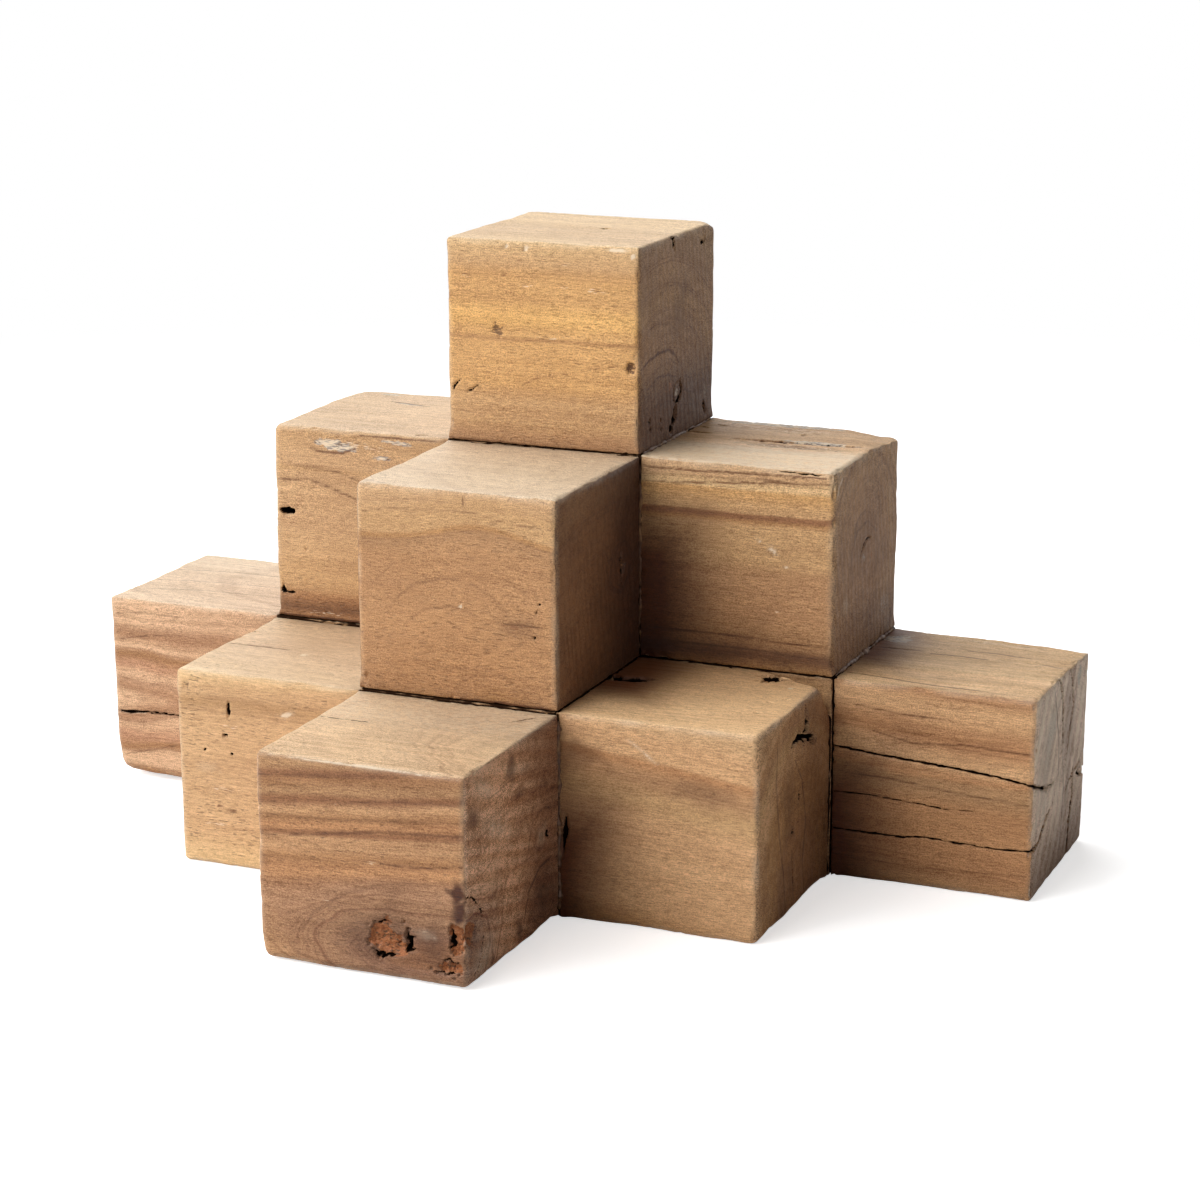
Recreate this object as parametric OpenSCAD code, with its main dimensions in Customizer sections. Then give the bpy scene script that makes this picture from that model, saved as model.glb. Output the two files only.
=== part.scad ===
// Stepped stack of reclaimed timber cubes, glued face to face.
// Fourteen sawn cubes stand on one square grid: five across the back of the bottom layer,
// stepping in towards one cube at the front and one at the top. The back is flat.
//
// Frame: +X to the right, +Y to the flat back, +Z up. The origin is on the table, under the
// middle of the whole stack.
// Places on a cube's face are in hundredths of the side, from the face's lower left corner as
// seen from outside (on a top face, from its front left corner). All sizes are millimetres.

/* [Cubes] */
// Edge length of each sawn cube
side = 100; // [80:1:150]
// Rounding of the sawn arrises
arris_r = 2.8; // [1:0.1:5]
// Rounding of the arrises that stand on the table
foot_r = 4; // [1:0.1:6]
// Rounding of the far left cube's knocked lower corner
knocked_r = 6; // [2:0.5:12]

/* [Sawing differences] */
// Top cube: how far its left, right, front and top faces stand out past the grid
top_proud = [0.7, 1, 0.3, 0]; // [-3:0.1:3]
// Middle front cube: the same four faces
middle_front_proud = [0.7, 1.4, 0.2, -0.3]; // [-3:0.1:3]
// Middle left cube: the same four faces
middle_left_proud = [-0.8, 0, -0.3, 0]; // [-3:0.1:3]
// Bottom far left cube: the same four faces
far_left_proud = [0, 0, -0.7, -0.3]; // [-3:0.1:3]
// Bottom left cube: the same four faces
left_proud = [0.7, 0, 0, -1.1]; // [-3:0.1:3]
// Bottom front cube: the same four faces
front_proud = [1, 1.7, 0, -1.1]; // [-3:0.1:3]
// Bottom right cube: the same four faces
right_proud = [0, -0.6, 0, -0.1]; // [-3:0.1:3]
// Bottom far right cube: the same four faces
far_right_proud = [0, 0, -1.5, -0.2]; // [-3:0.1:3]
// Height that the far left cube was glued clear of the table
far_left_lift = 3; // [0:0.5:6]
// Height that the bottom front cube was glued clear of the table
front_lift = 1; // [0:0.5:4]
// Amount that the far right cube falls short of the flat back
far_right_short = 1.4; // [0:0.1:4]

/* [Drying cracks] */
// Opening of the long cracks in the far right cube
long_crack_w = 1.2; // [0.4:0.1:3]
// Depth of the long cracks
long_crack_depth = 16; // [4:1:30]
// Fall of the upper long crack towards the pith, in degrees
upper_crack_dip = 18; // [0:1:30]
// Opening of the open end checks
end_check_w = 1.6; // [0.4:0.1:3]
// Depth of the open end checks
end_check_depth = 12; // [3:1:30]
// Opening of the wedge split in the far right cube's back arris
wedge_split_w = 3.2; // [1:0.1:6]
// Opening of the hairline checks
hairline_w = 0.7; // [0.3:0.1:1.5]
// Depth of the hairline checks
hairline_depth = 4; // [1:0.5:10]
// Opening of the star shake in the bottom right cube
star_shake_w = 2.2; // [0.6:0.1:4]
// Depth of the star shake
star_shake_depth = 14; // [3:1:30]
// Opening of the torn crack across the middle right cube's top
torn_crack_w = 2.4; // [0.6:0.1:5]
// Depth of the torn crack
torn_crack_depth = 9; // [2:1:20]
// Opening of the loose knot's curved split in the top cube
knot_split_w = 4; // [1:0.1:6]
// Depth of the loose knot's split
knot_split_depth = 10; // [2:1:20]
// Width at which a crack's tip closes
tip_w = 0.2; // [0.1:0.05:0.5]

/* [Insect holes] */
// Diameter of the round flight holes
flight_hole_d = 2.4; // [1:0.1:4]
// Depth of the flight holes
flight_hole_depth = 10; // [3:1:20]
// Diameter of the pinholes
pinhole_d = 1.1; // [0.5:0.1:2]
// Depth of the pinholes
pinhole_depth = 5; // [2:1:10]
// Length of the oval borer hole in the middle left cube
oval_hole_l = 8.5; // [5:0.5:12]
// Height of the oval borer hole
oval_hole_h = 3.6; // [2:0.1:5]
// Depth of the oval borer hole
oval_hole_depth = 14; // [4:1:30]

/* [Knots and bark pockets] */
// Radius of the main knot's pocket in the bottom front cube
knot_pocket_r = 8; // [4:0.5:12]
// Depth of the main knot's pocket
knot_pocket_depth = 4; // [1:0.5:8]
// Radius of the crumbled knots beside it, at the arris and below
side_knot_r = 5; // [3:0.5:8]
// Depth of the crumbled knots
side_knot_depth = 3; // [1:0.5:6]
// Width of the bark pocket sunk into the arris over the knots
bark_notch_w = 6; // [3:0.5:10]
// Height of that bark pocket
bark_notch_h = 16; // [8:1:24]
// Depth of that bark pocket
bark_notch_depth = 1.2; // [0.4:0.1:3]
// Width of the bark pocket in the bottom right cube's top
bark_pocket_w = 7; // [3:0.5:12]
// Depth of that bark pocket
bark_pocket_depth = 8; // [2:1:20]
// Radius of the shallow dents
dent_r = 2.6; // [1:0.1:5]
// Depth of the shallow dents
dent_depth = 1; // [0.3:0.1:2]

/* [Worn corners] */
// Middle right cube, back top corner: reach of the wear along X, Y and Z
middle_right_wear = [28, 35, 4]; // [1:1:50]
// Middle left cube, back top corner: the same three reaches
middle_left_wear = [10, 12, 2]; // [1:1:50]
// Bottom right cube, back top corner: the same three reaches
right_wear = [34, 18, 20]; // [1:1:50]
// Bottom far right cube, back top corner: the same three reaches
far_right_wear = [60, 45, 2.5]; // [1:0.5:70]
// Top cube, back top corner: the same three reaches
top_wear = [9, 9, 3]; // [1:1:50]

/* [Glue] */
// Radius of the glue squeezed out of the joints
bead_r = 2.2; // [1:0.1:3]
// Bare length at each end of a bead
bead_margin = 4; // [1:0.5:10]

/* [Hidden] */
$fn = 48;
// Length by which a cutter starts outside its face
proud = 4;
// Row of the grid, counted from the front, whose middle lies on the origin
middle_row = 1;
// Faces that lie on the grid, as on a cube inside the stack
FLUSH = [0, 0, 0, 0];

// A place on a face, from hundredths of the side
function place(p) = p * side / 100;

// The direction square to a path at its point i
function across(path, i) =
  let (a = path[max(i - 1, 0)], b = path[min(i + 1, len(path) - 1)], d = (b - a) / norm(b - a))
  [-d[1], d[0]];

// Half the opening at point i: full in the middle of the path, closing towards a tip. An end
// of 1 stays open, where the crack runs out over an arris.
function half_opening(i, n, width, ends) =
  let (t = i / n, share = min(1, ends[0] + t / 0.35, ends[1] + (1 - t) / 0.35))
  max(tip_w, width * share) / 2;

// The outline of a crack: out along one lip of the path and back along the other
function crack_outline(path, width, ends) =
  let (n = len(path) - 1)
  concat(
    [for (i = [0:n]) path[i] + across(path, i) * half_opening(i, n, width, ends)],
    [for (i = [n:-1:0]) path[i] - across(path, i) * half_opening(i, n, width, ends)]
  );

// Face frames: X along the face, Y up it (or to the back on top), Z out of it
module on_front() rotate([90, 0, 0]) children();
module on_right() translate([side, 0, 0]) rotate([90, 0, 90]) children();
module on_top() translate([0, 0, side]) children();

// A crack cut into a face, its path in hundredths of the side. dip turns it down as it goes in.
module crack(path, width, depth, ends = [0, 0], dip = 0) {
  start = place(path[0]);
  translate([0, start[1], 0])
    rotate([-dip, 0, 0])
      translate([0, -start[1], -depth])
        linear_extrude(depth + proud)
          polygon(crack_outline(place(path), width, ends));
}

// A round hole drilled by an insect
module hole(at, d, depth)
  translate([place(at[0]), place(at[1]), -depth]) cylinder(d = d, h = depth + proud);

// A level hole with round ends, as a large borer leaves
module oval_hole(at, l, h, depth)
  translate([place(at[0]), place(at[1]), -depth])
    linear_extrude(depth + proud)
      union() {
        square([l - h, h], center = true);
        for (end = [-1, 1]) translate([end * (l - h) / 2, 0]) circle(d = h);
      }

// A shallow round dish of radius r: part of a large ball whose middle lies outside the face
module dish(at, r, depth) {
  ball_r = (r * r + depth * depth) / (2 * depth);
  translate([place(at[0]), place(at[1]), ball_r - depth]) sphere(ball_r);
}

// A sharp sided pocket
module pocket(at, size, depth)
  translate([place(at[0]), place(at[1]), -depth]) cube([size[0], size[1], depth + proud]);

// A rectangle between two corners, with its own radius at each corner, lower left first and
// then round against the clock
module rounded_rectangle(low, high, radii) {
  corners = [[low[0], low[1]], [high[0], low[1]], [high[0], high[1]], [low[0], high[1]]];
  inward = [[1, 1], [-1, 1], [-1, -1], [1, -1]];
  difference() {
    translate(low) square(high - low);
    for (i = [0:3])
      difference() {
        translate(corners[i]) square(2 * radii[i], center = true);
        translate(corners[i] + inward[i] * radii[i]) circle(radii[i]);
      }
  }
}

// One sawn block in its cell: the body that three rounded outlines share
module block(proud_faces = FLUSH, lift = 0, short = 0, foot = arris_r, corner = arris_r) {
  low = [-proud_faces[0], -proud_faces[2], lift];
  high = [side + proud_faces[1], side - short, side + proud_faces[3]];
  intersection() {
    linear_extrude(high[2])
      rounded_rectangle([low[0], low[1]], [high[0], high[1]],
        [arris_r, arris_r, arris_r, arris_r]);
    translate([low[0], 0, 0])
      rotate([90, 0, 90])
        linear_extrude(high[0] - low[0])
          rounded_rectangle([low[1], low[2]], [high[1], high[2]],
            [foot, foot, arris_r, arris_r]);
    translate([0, high[1], 0])
      rotate([90, 0, 0])
        linear_extrude(high[1] - low[1])
          rounded_rectangle([low[0], low[2]], [high[0], high[2]],
            [corner, foot, arris_r, arris_r]);
  }
}

// Wear that takes off a back top corner along a plane. reach gives how far it runs along the
// edges in X, Y and Z, and a left corner is the mirror of a right one.
module worn_corner(reach, left = false) {
  steep = [1 / reach[0], 1 / reach[1], 1 / reach[2]];
  n = steep / norm(steep);
  start = left ? [reach[0], side, side] : [side - reach[0], side, side];
  turn = left ? -1 : 1;
  translate(start)
    rotate([-asin(n[1]), turn * atan(n[0] / n[2]), 0])
      translate([-side, -side, 0])
        cube([2 * side, 2 * side, side]);
}

// Moves a cube from its own corner to its cell: column from the middle, row from the back
module in_cell(column, row, layer)
  translate([(column - 0.5) * side, (middle_row - row - 0.5) * side, layer * side]) children();

// Bare blocks of the cubes that glue beads lie against
module top_block() in_cell(0, 0, 2) block(top_proud);
module middle_front_block() in_cell(0, 1, 1) block(middle_front_proud);
module bottom_front_block() in_cell(0, 2, 0) block(front_proud, front_lift, 0, foot_r, foot_r);
module true_block(column, row, layer) in_cell(column, row, layer) block();

module top_cube()
  color("#cfa068")
    in_cell(0, 0, 2)
      difference() {
        block(top_proud);
        worn_corner(top_wear);
        on_front() {
          crack([[2, 22], [3.5, 26], [7, 30.5]], hairline_w, hairline_depth);
          crack([[9, 22], [12, 24.5], [16.5, 28.5]], hairline_w, hairline_depth);
          dish([26.5, 56], dent_r, dent_depth);
          dish([97.5, 42], dent_r, 2 * dent_depth);
        }
        on_right() {
          crack([[42, 5], [45, 12], [48.5, 17], [51, 22], [53, 27]], knot_split_w, knot_split_depth);
          crack([[46, 103], [45.5, 97], [44, 91]], end_check_w, hairline_depth, [1, 0]);
          for (at = [[12.5, 14], [13, 10], [27, 12], [86, 8]])
            hole(at, flight_hole_d, flight_hole_depth);
        }
        on_top() {
          hole([61, 54], 2 * flight_hole_d, flight_hole_depth);
          crack([[15, 97], [16, 92], [18, 87]], hairline_w, hairline_depth);
        }
      }

module middle_left_cube()
  color("#bd9364")
    in_cell(-1, 0, 1)
      difference() {
        block(middle_left_proud);
        worn_corner(middle_left_wear, left = true);
        on_front() {
          oval_hole([8.3, 55.8], oval_hole_l, oval_hole_h, oval_hole_depth);
          hole([4.5, 14], 1.5 * flight_hole_d, flight_hole_depth);
          dish([3, 14.5], dent_r, dent_depth);
        }
        on_top() crack([[30, 75], [42, 72], [56, 68]], end_check_w, hairline_depth);
      }

module middle_core_cube()
  color("#b58a5c") true_block(0, 0, 1);

module middle_right_cube()
  color("#b5854f")
    in_cell(1, 0, 1)
      difference() {
        block();
        worn_corner(middle_right_wear);
        on_right() crack([[37, 45], [40, 52], [48, 56.5]], hairline_w, hairline_depth);
        on_top() {
          crack([[26, 56], [45, 56], [60, 57], [76, 58.5], [94, 60]],
            torn_crack_w, torn_crack_depth);
          crack([[-3, 63.5], [5, 63], [14, 63]], end_check_w, hairline_depth, [1, 0]);
          crack([[2, 77], [5, 76], [9, 74.5]], hairline_w, hairline_depth);
        }
      }

module middle_front_cube()
  color("#b98f60")
    in_cell(0, 1, 1)
      difference() {
        block(middle_front_proud);
        on_front() {
          for (at = [[92, 50], [90.5, 45], [90, 34]]) hole(at, pinhole_d, pinhole_depth);
          dish([1.5, 5], dent_r, dent_depth);
        }
        on_right() crack([[73, 42], [76, 49], [79, 56]], end_check_w, hairline_depth);
      }

module bottom_far_left_cube()
  color("#b98762")
    in_cell(-2, 0, 0)
      difference() {
        block(far_left_proud, far_left_lift, 0, foot_r, knocked_r);
        on_front()
          crack([[-3, 36.3], [10, 37], [20, 38], [38, 38], [55, 38.6], [70, 38]],
            long_crack_w, long_crack_depth / 2, [1, 0]);
      }

module bottom_back_left_cube()
  color("#b58a5c") in_cell(-1, 0, 0) block(foot = foot_r, corner = foot_r);

module bottom_back_middle_cube()
  color("#ad8152") in_cell(0, 0, 0) block(foot = foot_r, corner = foot_r);

module bottom_back_right_cube()
  color("#b98f60") in_cell(1, 0, 0) block(foot = foot_r, corner = foot_r);

module bottom_far_right_cube()
  color("#a87646")
    in_cell(2, 0, 0)
      difference() {
        block(far_right_proud, 0, far_right_short, foot_r, foot_r);
        worn_corner(far_right_wear);
        on_front() {
          crack([[-3, 66.7], [20, 64.5], [40, 63.3], [60, 62], [80, 60.5], [103, 57.2]],
            long_crack_w, long_crack_depth, [1, 1], upper_crack_dip);
          crack([[-3, 43], [18, 43.5], [45, 42], [57, 41], [78, 42]],
            hairline_w, long_crack_depth / 2, [1, 0]);
          crack([[-3, 24.5], [35, 24.5], [48, 26], [65, 25], [80, 24.6], [103, 25.6]],
            hairline_w, long_crack_depth / 2, [1, 1]);
        }
        on_right() {
          crack([[2, 57.5], [8, 55.5], [20, 51.5], [37, 49]], long_crack_w, end_check_depth, [1, 0]);
          crack([[2, 25.7], [14, 28.3], [29, 29.5]], long_crack_w, end_check_depth, [1, 0]);
          crack([[40, 104], [45, 95], [49, 86], [50, 74], [52, 64]],
            end_check_w, end_check_depth / 2, [1, 0]);
          crack([[72, 56], [73, 43], [74, 32], [70, 20], [67, -4]],
            end_check_w, end_check_depth, [0, 1]);
          crack([[58, 37], [66, 41], [75, 43.5], [88, 45]], hairline_w, hairline_depth);
          crack([[79, 41.5], [90, 39], [103, 36.5]], wedge_split_w, end_check_depth, [0, 1]);
        }
        on_top()
          crack([[4, 14], [20, 12], [50, 8], [84, 6]], hairline_w, hairline_depth);
      }

module bottom_left_cube()
  color("#c49c68")
    in_cell(-1, 1, 0)
      difference() {
        block(left_proud, 0, 0, foot_r, foot_r);
        on_front() {
          crack([[28, 82.8], [28.1, 80.5], [27.9, 78.2]], 2 * hairline_w, hairline_depth, [1, 1]);
          hole([25.5, 67.7], flight_hole_d, flight_hole_depth);
          for (at = [[14, 59.2], [29, 58.8]]) hole(at, pinhole_d, pinhole_depth);
          dish([5, 90], dent_r / 2, dent_depth);
        }
        on_top()
          for (v = [60, 71])
            crack([[-3, v + 1], [3, v], [7, v]], end_check_w, hairline_depth, [1, 0]);
      }

module bottom_core_cube()
  color("#b58a5c") in_cell(0, 1, 0) block(foot = foot_r, corner = foot_r);

module bottom_right_cube()
  color("#b98c58")
    in_cell(1, 1, 0)
      difference() {
        block(right_proud, 0, 0, foot_r, foot_r);
        worn_corner(right_wear);
        on_front() {
          crack([[4, 28], [5, 38], [6, 44], [5, 52]], end_check_w, hairline_depth);
          dish([13, 77], dent_r / 2, dent_depth);
        }
        on_right() {
          crack([[46, 82.5], [58, 83], [65, 81], [72, 78.5], [80, 75]],
            star_shake_w, star_shake_depth);
          crack([[62, 81], [66, 86], [65, 91], [64, 93]], star_shake_w, star_shake_depth, [1, 0]);
          crack([[66, 86], [69, 88], [72, 92]], star_shake_w / 2, star_shake_depth, [1, 0]);
          crack([[47, 30], [48.5, 18], [50, 6]], hairline_w, hairline_depth);
          for (at = [[56.5, 55], [47.5, 39.5]]) hole(at, flight_hole_d, flight_hole_depth);
          hole([55, 14], pinhole_d, pinhole_depth);
        }
        on_top() {
          crack([[-3, 61], [8, 62], [18, 65], [25, 67]], bark_pocket_w, bark_pocket_depth, [1, 0]);
          for (at = [[88, 77], [86, 53], [86, 35], [13, 28]]) dish(at, dent_r / 2, dent_depth);
        }
      }

module bottom_front_cube()
  color("#a8764a")
    in_cell(0, 2, 0)
      difference() {
        block(front_proud, front_lift, 0, foot_r, foot_r);
        on_front() {
          dish([61, 21], knot_pocket_r, knot_pocket_depth);
          dish([66, 17], 0.8 * knot_pocket_r, knot_pocket_depth);
          crack([[70, 14], [73, 19], [72, 25]], end_check_w, 2 * knot_pocket_depth);
          dish([99, 24], side_knot_r, side_knot_depth);
          dish([97, 18], 0.8 * side_knot_r, side_knot_depth);
          crack([[85, 12], [91, 11], [99, 8.5]], side_knot_r, side_knot_depth);
          pocket([97, 35], [bark_notch_w, bark_notch_h], bark_notch_depth);
        }
        on_right() {
          dish([3, 30], side_knot_r, side_knot_depth);
          crack([[84, 47], [87, 45], [91, 43.5]], end_check_w, hairline_depth);
          for (at = [[46, 16], [45, 11], [44, 7]]) hole(at, pinhole_d, pinhole_depth);
        }
        on_top() crack([[2, 57], [15, 57], [38, 57]], hairline_w, hairline_depth / 2);
      }

// Glue along a horizontal joint that runs to the back, less the cubes that it lies between
module level_bead(x, z, from_y)
  translate([x, from_y + side - bead_margin, z])
    rotate([90, 0, 0])
      cylinder(r = bead_r, h = side - 2 * bead_margin);

// Glue up an inside corner
module upright_bead(x, y, z)
  translate([x, y, z + bead_margin]) cylinder(r = bead_r, h = side - 2 * bead_margin);

module top_glue_bead()
  color("#d8c9a8")
    difference() {
      level_bead(side / 2 + top_proud[1], 2 * side, side / 2);
      top_block();
      true_block(1, 0, 1);
      true_block(0, 0, 1);
    }

module middle_seam_glue_bead()
  color("#cdb892")
    difference() {
      upright_bead(side / 2 + middle_front_proud[1], side / 2, side);
      middle_front_block();
      true_block(1, 0, 1);
      true_block(0, 0, 1);
    }

module middle_right_glue_bead()
  color("#d8c9a8")
    difference() {
      level_bead(1.5 * side, side, side / 2);
      true_block(1, 0, 1);
      in_cell(1, 0, 0) block(foot = foot_r, corner = foot_r);
      in_cell(2, 0, 0) block(far_right_proud, 0, far_right_short, foot_r, foot_r);
    }

module bottom_seam_glue_bead()
  color("#cdb892")
    difference() {
      upright_bead(side / 2 + front_proud[1], -side / 2, 0);
      bottom_front_block();
      in_cell(0, 1, 0) block(foot = foot_r, corner = foot_r);
      in_cell(1, 1, 0) block(right_proud, 0, 0, foot_r, foot_r);
    }

top_cube();
middle_left_cube();
middle_core_cube();
middle_right_cube();
middle_front_cube();
bottom_far_left_cube();
bottom_back_left_cube();
bottom_back_middle_cube();
bottom_back_right_cube();
bottom_far_right_cube();
bottom_left_cube();
bottom_core_cube();
bottom_right_cube();
bottom_front_cube();
top_glue_bead();
middle_seam_glue_bead();
middle_right_glue_bead();
bottom_seam_glue_bead();
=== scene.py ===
"""Looks of a stepped stack of reclaimed timber cubes, glued face to face.

Each cube is a closed numpy surface over its packed block: a lattice on the block's six faces,
rounded at the arrises, worn at its corners and carved with the cracks, holes and knots that the
real one shows. Marks are given in hundredths of the side from a face's lower left corner, as in
the part's source. Lengths are millimetres until a mesh is made.
"""

import logging
import math
from dataclasses import dataclass, field
from enum import Enum

import bpy
import numpy as np
from mathutils import Matrix, Vector


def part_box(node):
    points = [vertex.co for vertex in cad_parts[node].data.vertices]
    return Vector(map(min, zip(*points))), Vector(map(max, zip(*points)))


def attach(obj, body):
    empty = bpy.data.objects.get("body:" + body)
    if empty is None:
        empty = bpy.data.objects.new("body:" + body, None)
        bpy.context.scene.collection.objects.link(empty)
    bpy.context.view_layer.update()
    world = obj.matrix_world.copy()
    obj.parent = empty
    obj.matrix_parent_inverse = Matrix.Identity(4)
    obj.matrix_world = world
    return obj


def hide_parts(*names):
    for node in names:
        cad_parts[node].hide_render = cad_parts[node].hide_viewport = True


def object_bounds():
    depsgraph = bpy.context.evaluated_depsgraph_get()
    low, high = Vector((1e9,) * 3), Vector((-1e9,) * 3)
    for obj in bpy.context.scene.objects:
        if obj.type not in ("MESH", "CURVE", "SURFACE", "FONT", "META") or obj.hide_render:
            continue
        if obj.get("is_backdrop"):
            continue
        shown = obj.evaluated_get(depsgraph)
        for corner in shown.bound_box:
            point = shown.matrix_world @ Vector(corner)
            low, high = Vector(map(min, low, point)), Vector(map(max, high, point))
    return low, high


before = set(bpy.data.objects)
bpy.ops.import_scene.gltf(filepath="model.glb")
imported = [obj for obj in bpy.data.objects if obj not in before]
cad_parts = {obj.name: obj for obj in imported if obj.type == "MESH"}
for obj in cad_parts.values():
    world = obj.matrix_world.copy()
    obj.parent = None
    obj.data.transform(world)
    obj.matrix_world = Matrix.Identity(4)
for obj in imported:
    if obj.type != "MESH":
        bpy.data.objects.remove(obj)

LOG = logging.getLogger("stack")
MM = 0.001
CELLS_WIDE = 5
MIDDLE_ROW = 1
ARRIS_R = 2.8
FOOT_R = 4.0
COARSE_STEP = 2.6
PLAIN_STEP = 4.5
ARRIS_STEP = 0.7
FINE_STEP = 0.5
EDGE_REACH = 0.9
FAINT = 0.75
SLOPE_LIMIT = 0.5
CRACK_TIP = 0.35
DEEPEST_CARVE = 7.0

Vec2 = tuple[float, float]
Vec3 = tuple[float, float, float]
Path = tuple[Vec2, ...]


class Tone(Enum):
    """A colour of the timber, as it looks in plain light."""

    HONEY = "#dfae6b"
    GOLD = "#d2a268"
    STRAW = "#e2bd8a"
    SAND = "#cfa679"
    WHEAT = "#caa070"
    TAN = "#bd9065"
    FAWN = "#b0855b"
    OCHRE = "#b98a58"
    RUSSET = "#a97a50"
    BISCUIT = "#dab18b"
    ROSE = "#c69672"
    CLAY = "#b68964"
    PLUM = "#805a45"
    CHESTNUT = "#91623f"
    UMBER = "#7a5335"
    LINE = "#a27a5a"
    COCOA = "#55361f"
    # Painted shade inside cracks and holes.
    SOOT = "#150d08"
    RUST = "#a06036"
    BONE = "#efdcc0"
    ASH = "#c4b8ac"
    SLATE = "#928c88"
    DUST = "#a58c76"
    GLUE = "#94704a"
    DRAB = "#9a7455"
    # Multiplied in by the dark mask: real stains, and painted shade in inner corners and under cast shadows.
    GRIME = "#705038"
    AMBER = "#d8aa7b"
    AUBURN = "#bb885b"
    CREAM = "#fadaae"
    HUSK = "#f2d4bc"
    PEACH = "#efbc92"
    OAT = "#ecc998"
    APRICOT = "#f8cf9c"
    HAZEL = "#ba8c60"
    # Painted shadow in the gaps where cubes meet.
    JOINT = "#2a1b11"

    @property
    def linear(self) -> tuple[float, float, float, float]:
        """The colour in linear light, with full alpha."""
        parts = [int(self.value[i : i + 2], 16) / 255 for i in (1, 3, 5)]
        low = 0.04045
        return (*[c / 12.92 if c <= low else ((c + 0.055) / 1.055) ** 2.4 for c in parts], 1.0)


class Face(Enum):
    """A face of a cube: its axis, its side, and the axes that its marks are measured along."""

    LEFT = (0, -1, 1, 2)
    RIGHT = (0, 1, 1, 2)
    FRONT = (1, -1, 0, 2)
    BACK = (1, 1, 0, 2)
    UNDER = (2, -1, 0, 1)
    TOP = (2, 1, 0, 1)

    @property
    def axis(self) -> int:
        """The axis that the face is square to."""
        return self.value[0]

    @property
    def side(self) -> int:
        """1 for the face at the high end of its axis, and -1 for the other."""
        return self.value[1]

    @property
    def plane(self) -> tuple[int, int]:
        """The axes along the face and up it."""
        return self.value[2], self.value[3]


@dataclass(frozen=True)
class Window:
    """A stretch of one axis where the lattice is finer."""

    axis: int
    low: float
    high: float
    step: float


def waves(points: np.ndarray, length: float, seed: int, count: int = 14) -> np.ndarray:
    """A smooth random field from about -1 to 1: a sum of plane waves in random directions.

    Args:
        points: Positions, one row each, in millimetres.
        length: The waves' length in millimetres.
        seed: Picks the directions and phases.
        count: The number of waves.

    Returns:
        One value for each row.
    """
    draw = np.random.default_rng(seed)
    k = draw.normal(size=(count, points.shape[1]))
    k *= 2 * np.pi / length / np.linalg.norm(k, axis=1, keepdims=True)
    k *= draw.uniform(0.7, 1.4, (count, 1))
    phase = draw.uniform(0, 2 * np.pi, count)
    return np.sin(points @ k.T + phase).sum(1) / math.sqrt(count)


def edge(inside: np.ndarray) -> np.ndarray:
    """A mask that is a half on an edge, from the distance inside it, so that shaders find it sharp."""
    return np.clip(0.5 + inside / (2 * EDGE_REACH), 0, 1)


def smoothstep(low: float, high: float, x: np.ndarray) -> np.ndarray:
    """0 below low, 1 above high, and 3t^2 - 2t^3 between them."""
    t = np.clip((x - low) / (high - low), 0, 1)
    return t * t * (3 - 2 * t)


@dataclass(frozen=True)
class Mark:
    """Something cut into or laid on a face. depth is how far it goes in."""

    face: Face
    depth: float

    def windows(self) -> list[Window]:
        """The stretches of the lattice that this mark needs fine."""
        return []

    def carve(self, uv: np.ndarray, seed: int) -> tuple[np.ndarray, dict[str, np.ndarray]]:
        """The mark's depth and masks at places on its face.

        Args:
            uv: Places on the face, one row each.
            seed: Picks the raggedness.

        Returns:
            The depth at each place, and each mask that the mark paints.
        """
        raise NotImplementedError

    def span(self, axis: int, low: float, high: float, step: float) -> Window:
        """A window on the lattice axis that the face's u (0) or v (1) runs along."""
        return Window(self.face.plane[axis], low, high, step)


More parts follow.
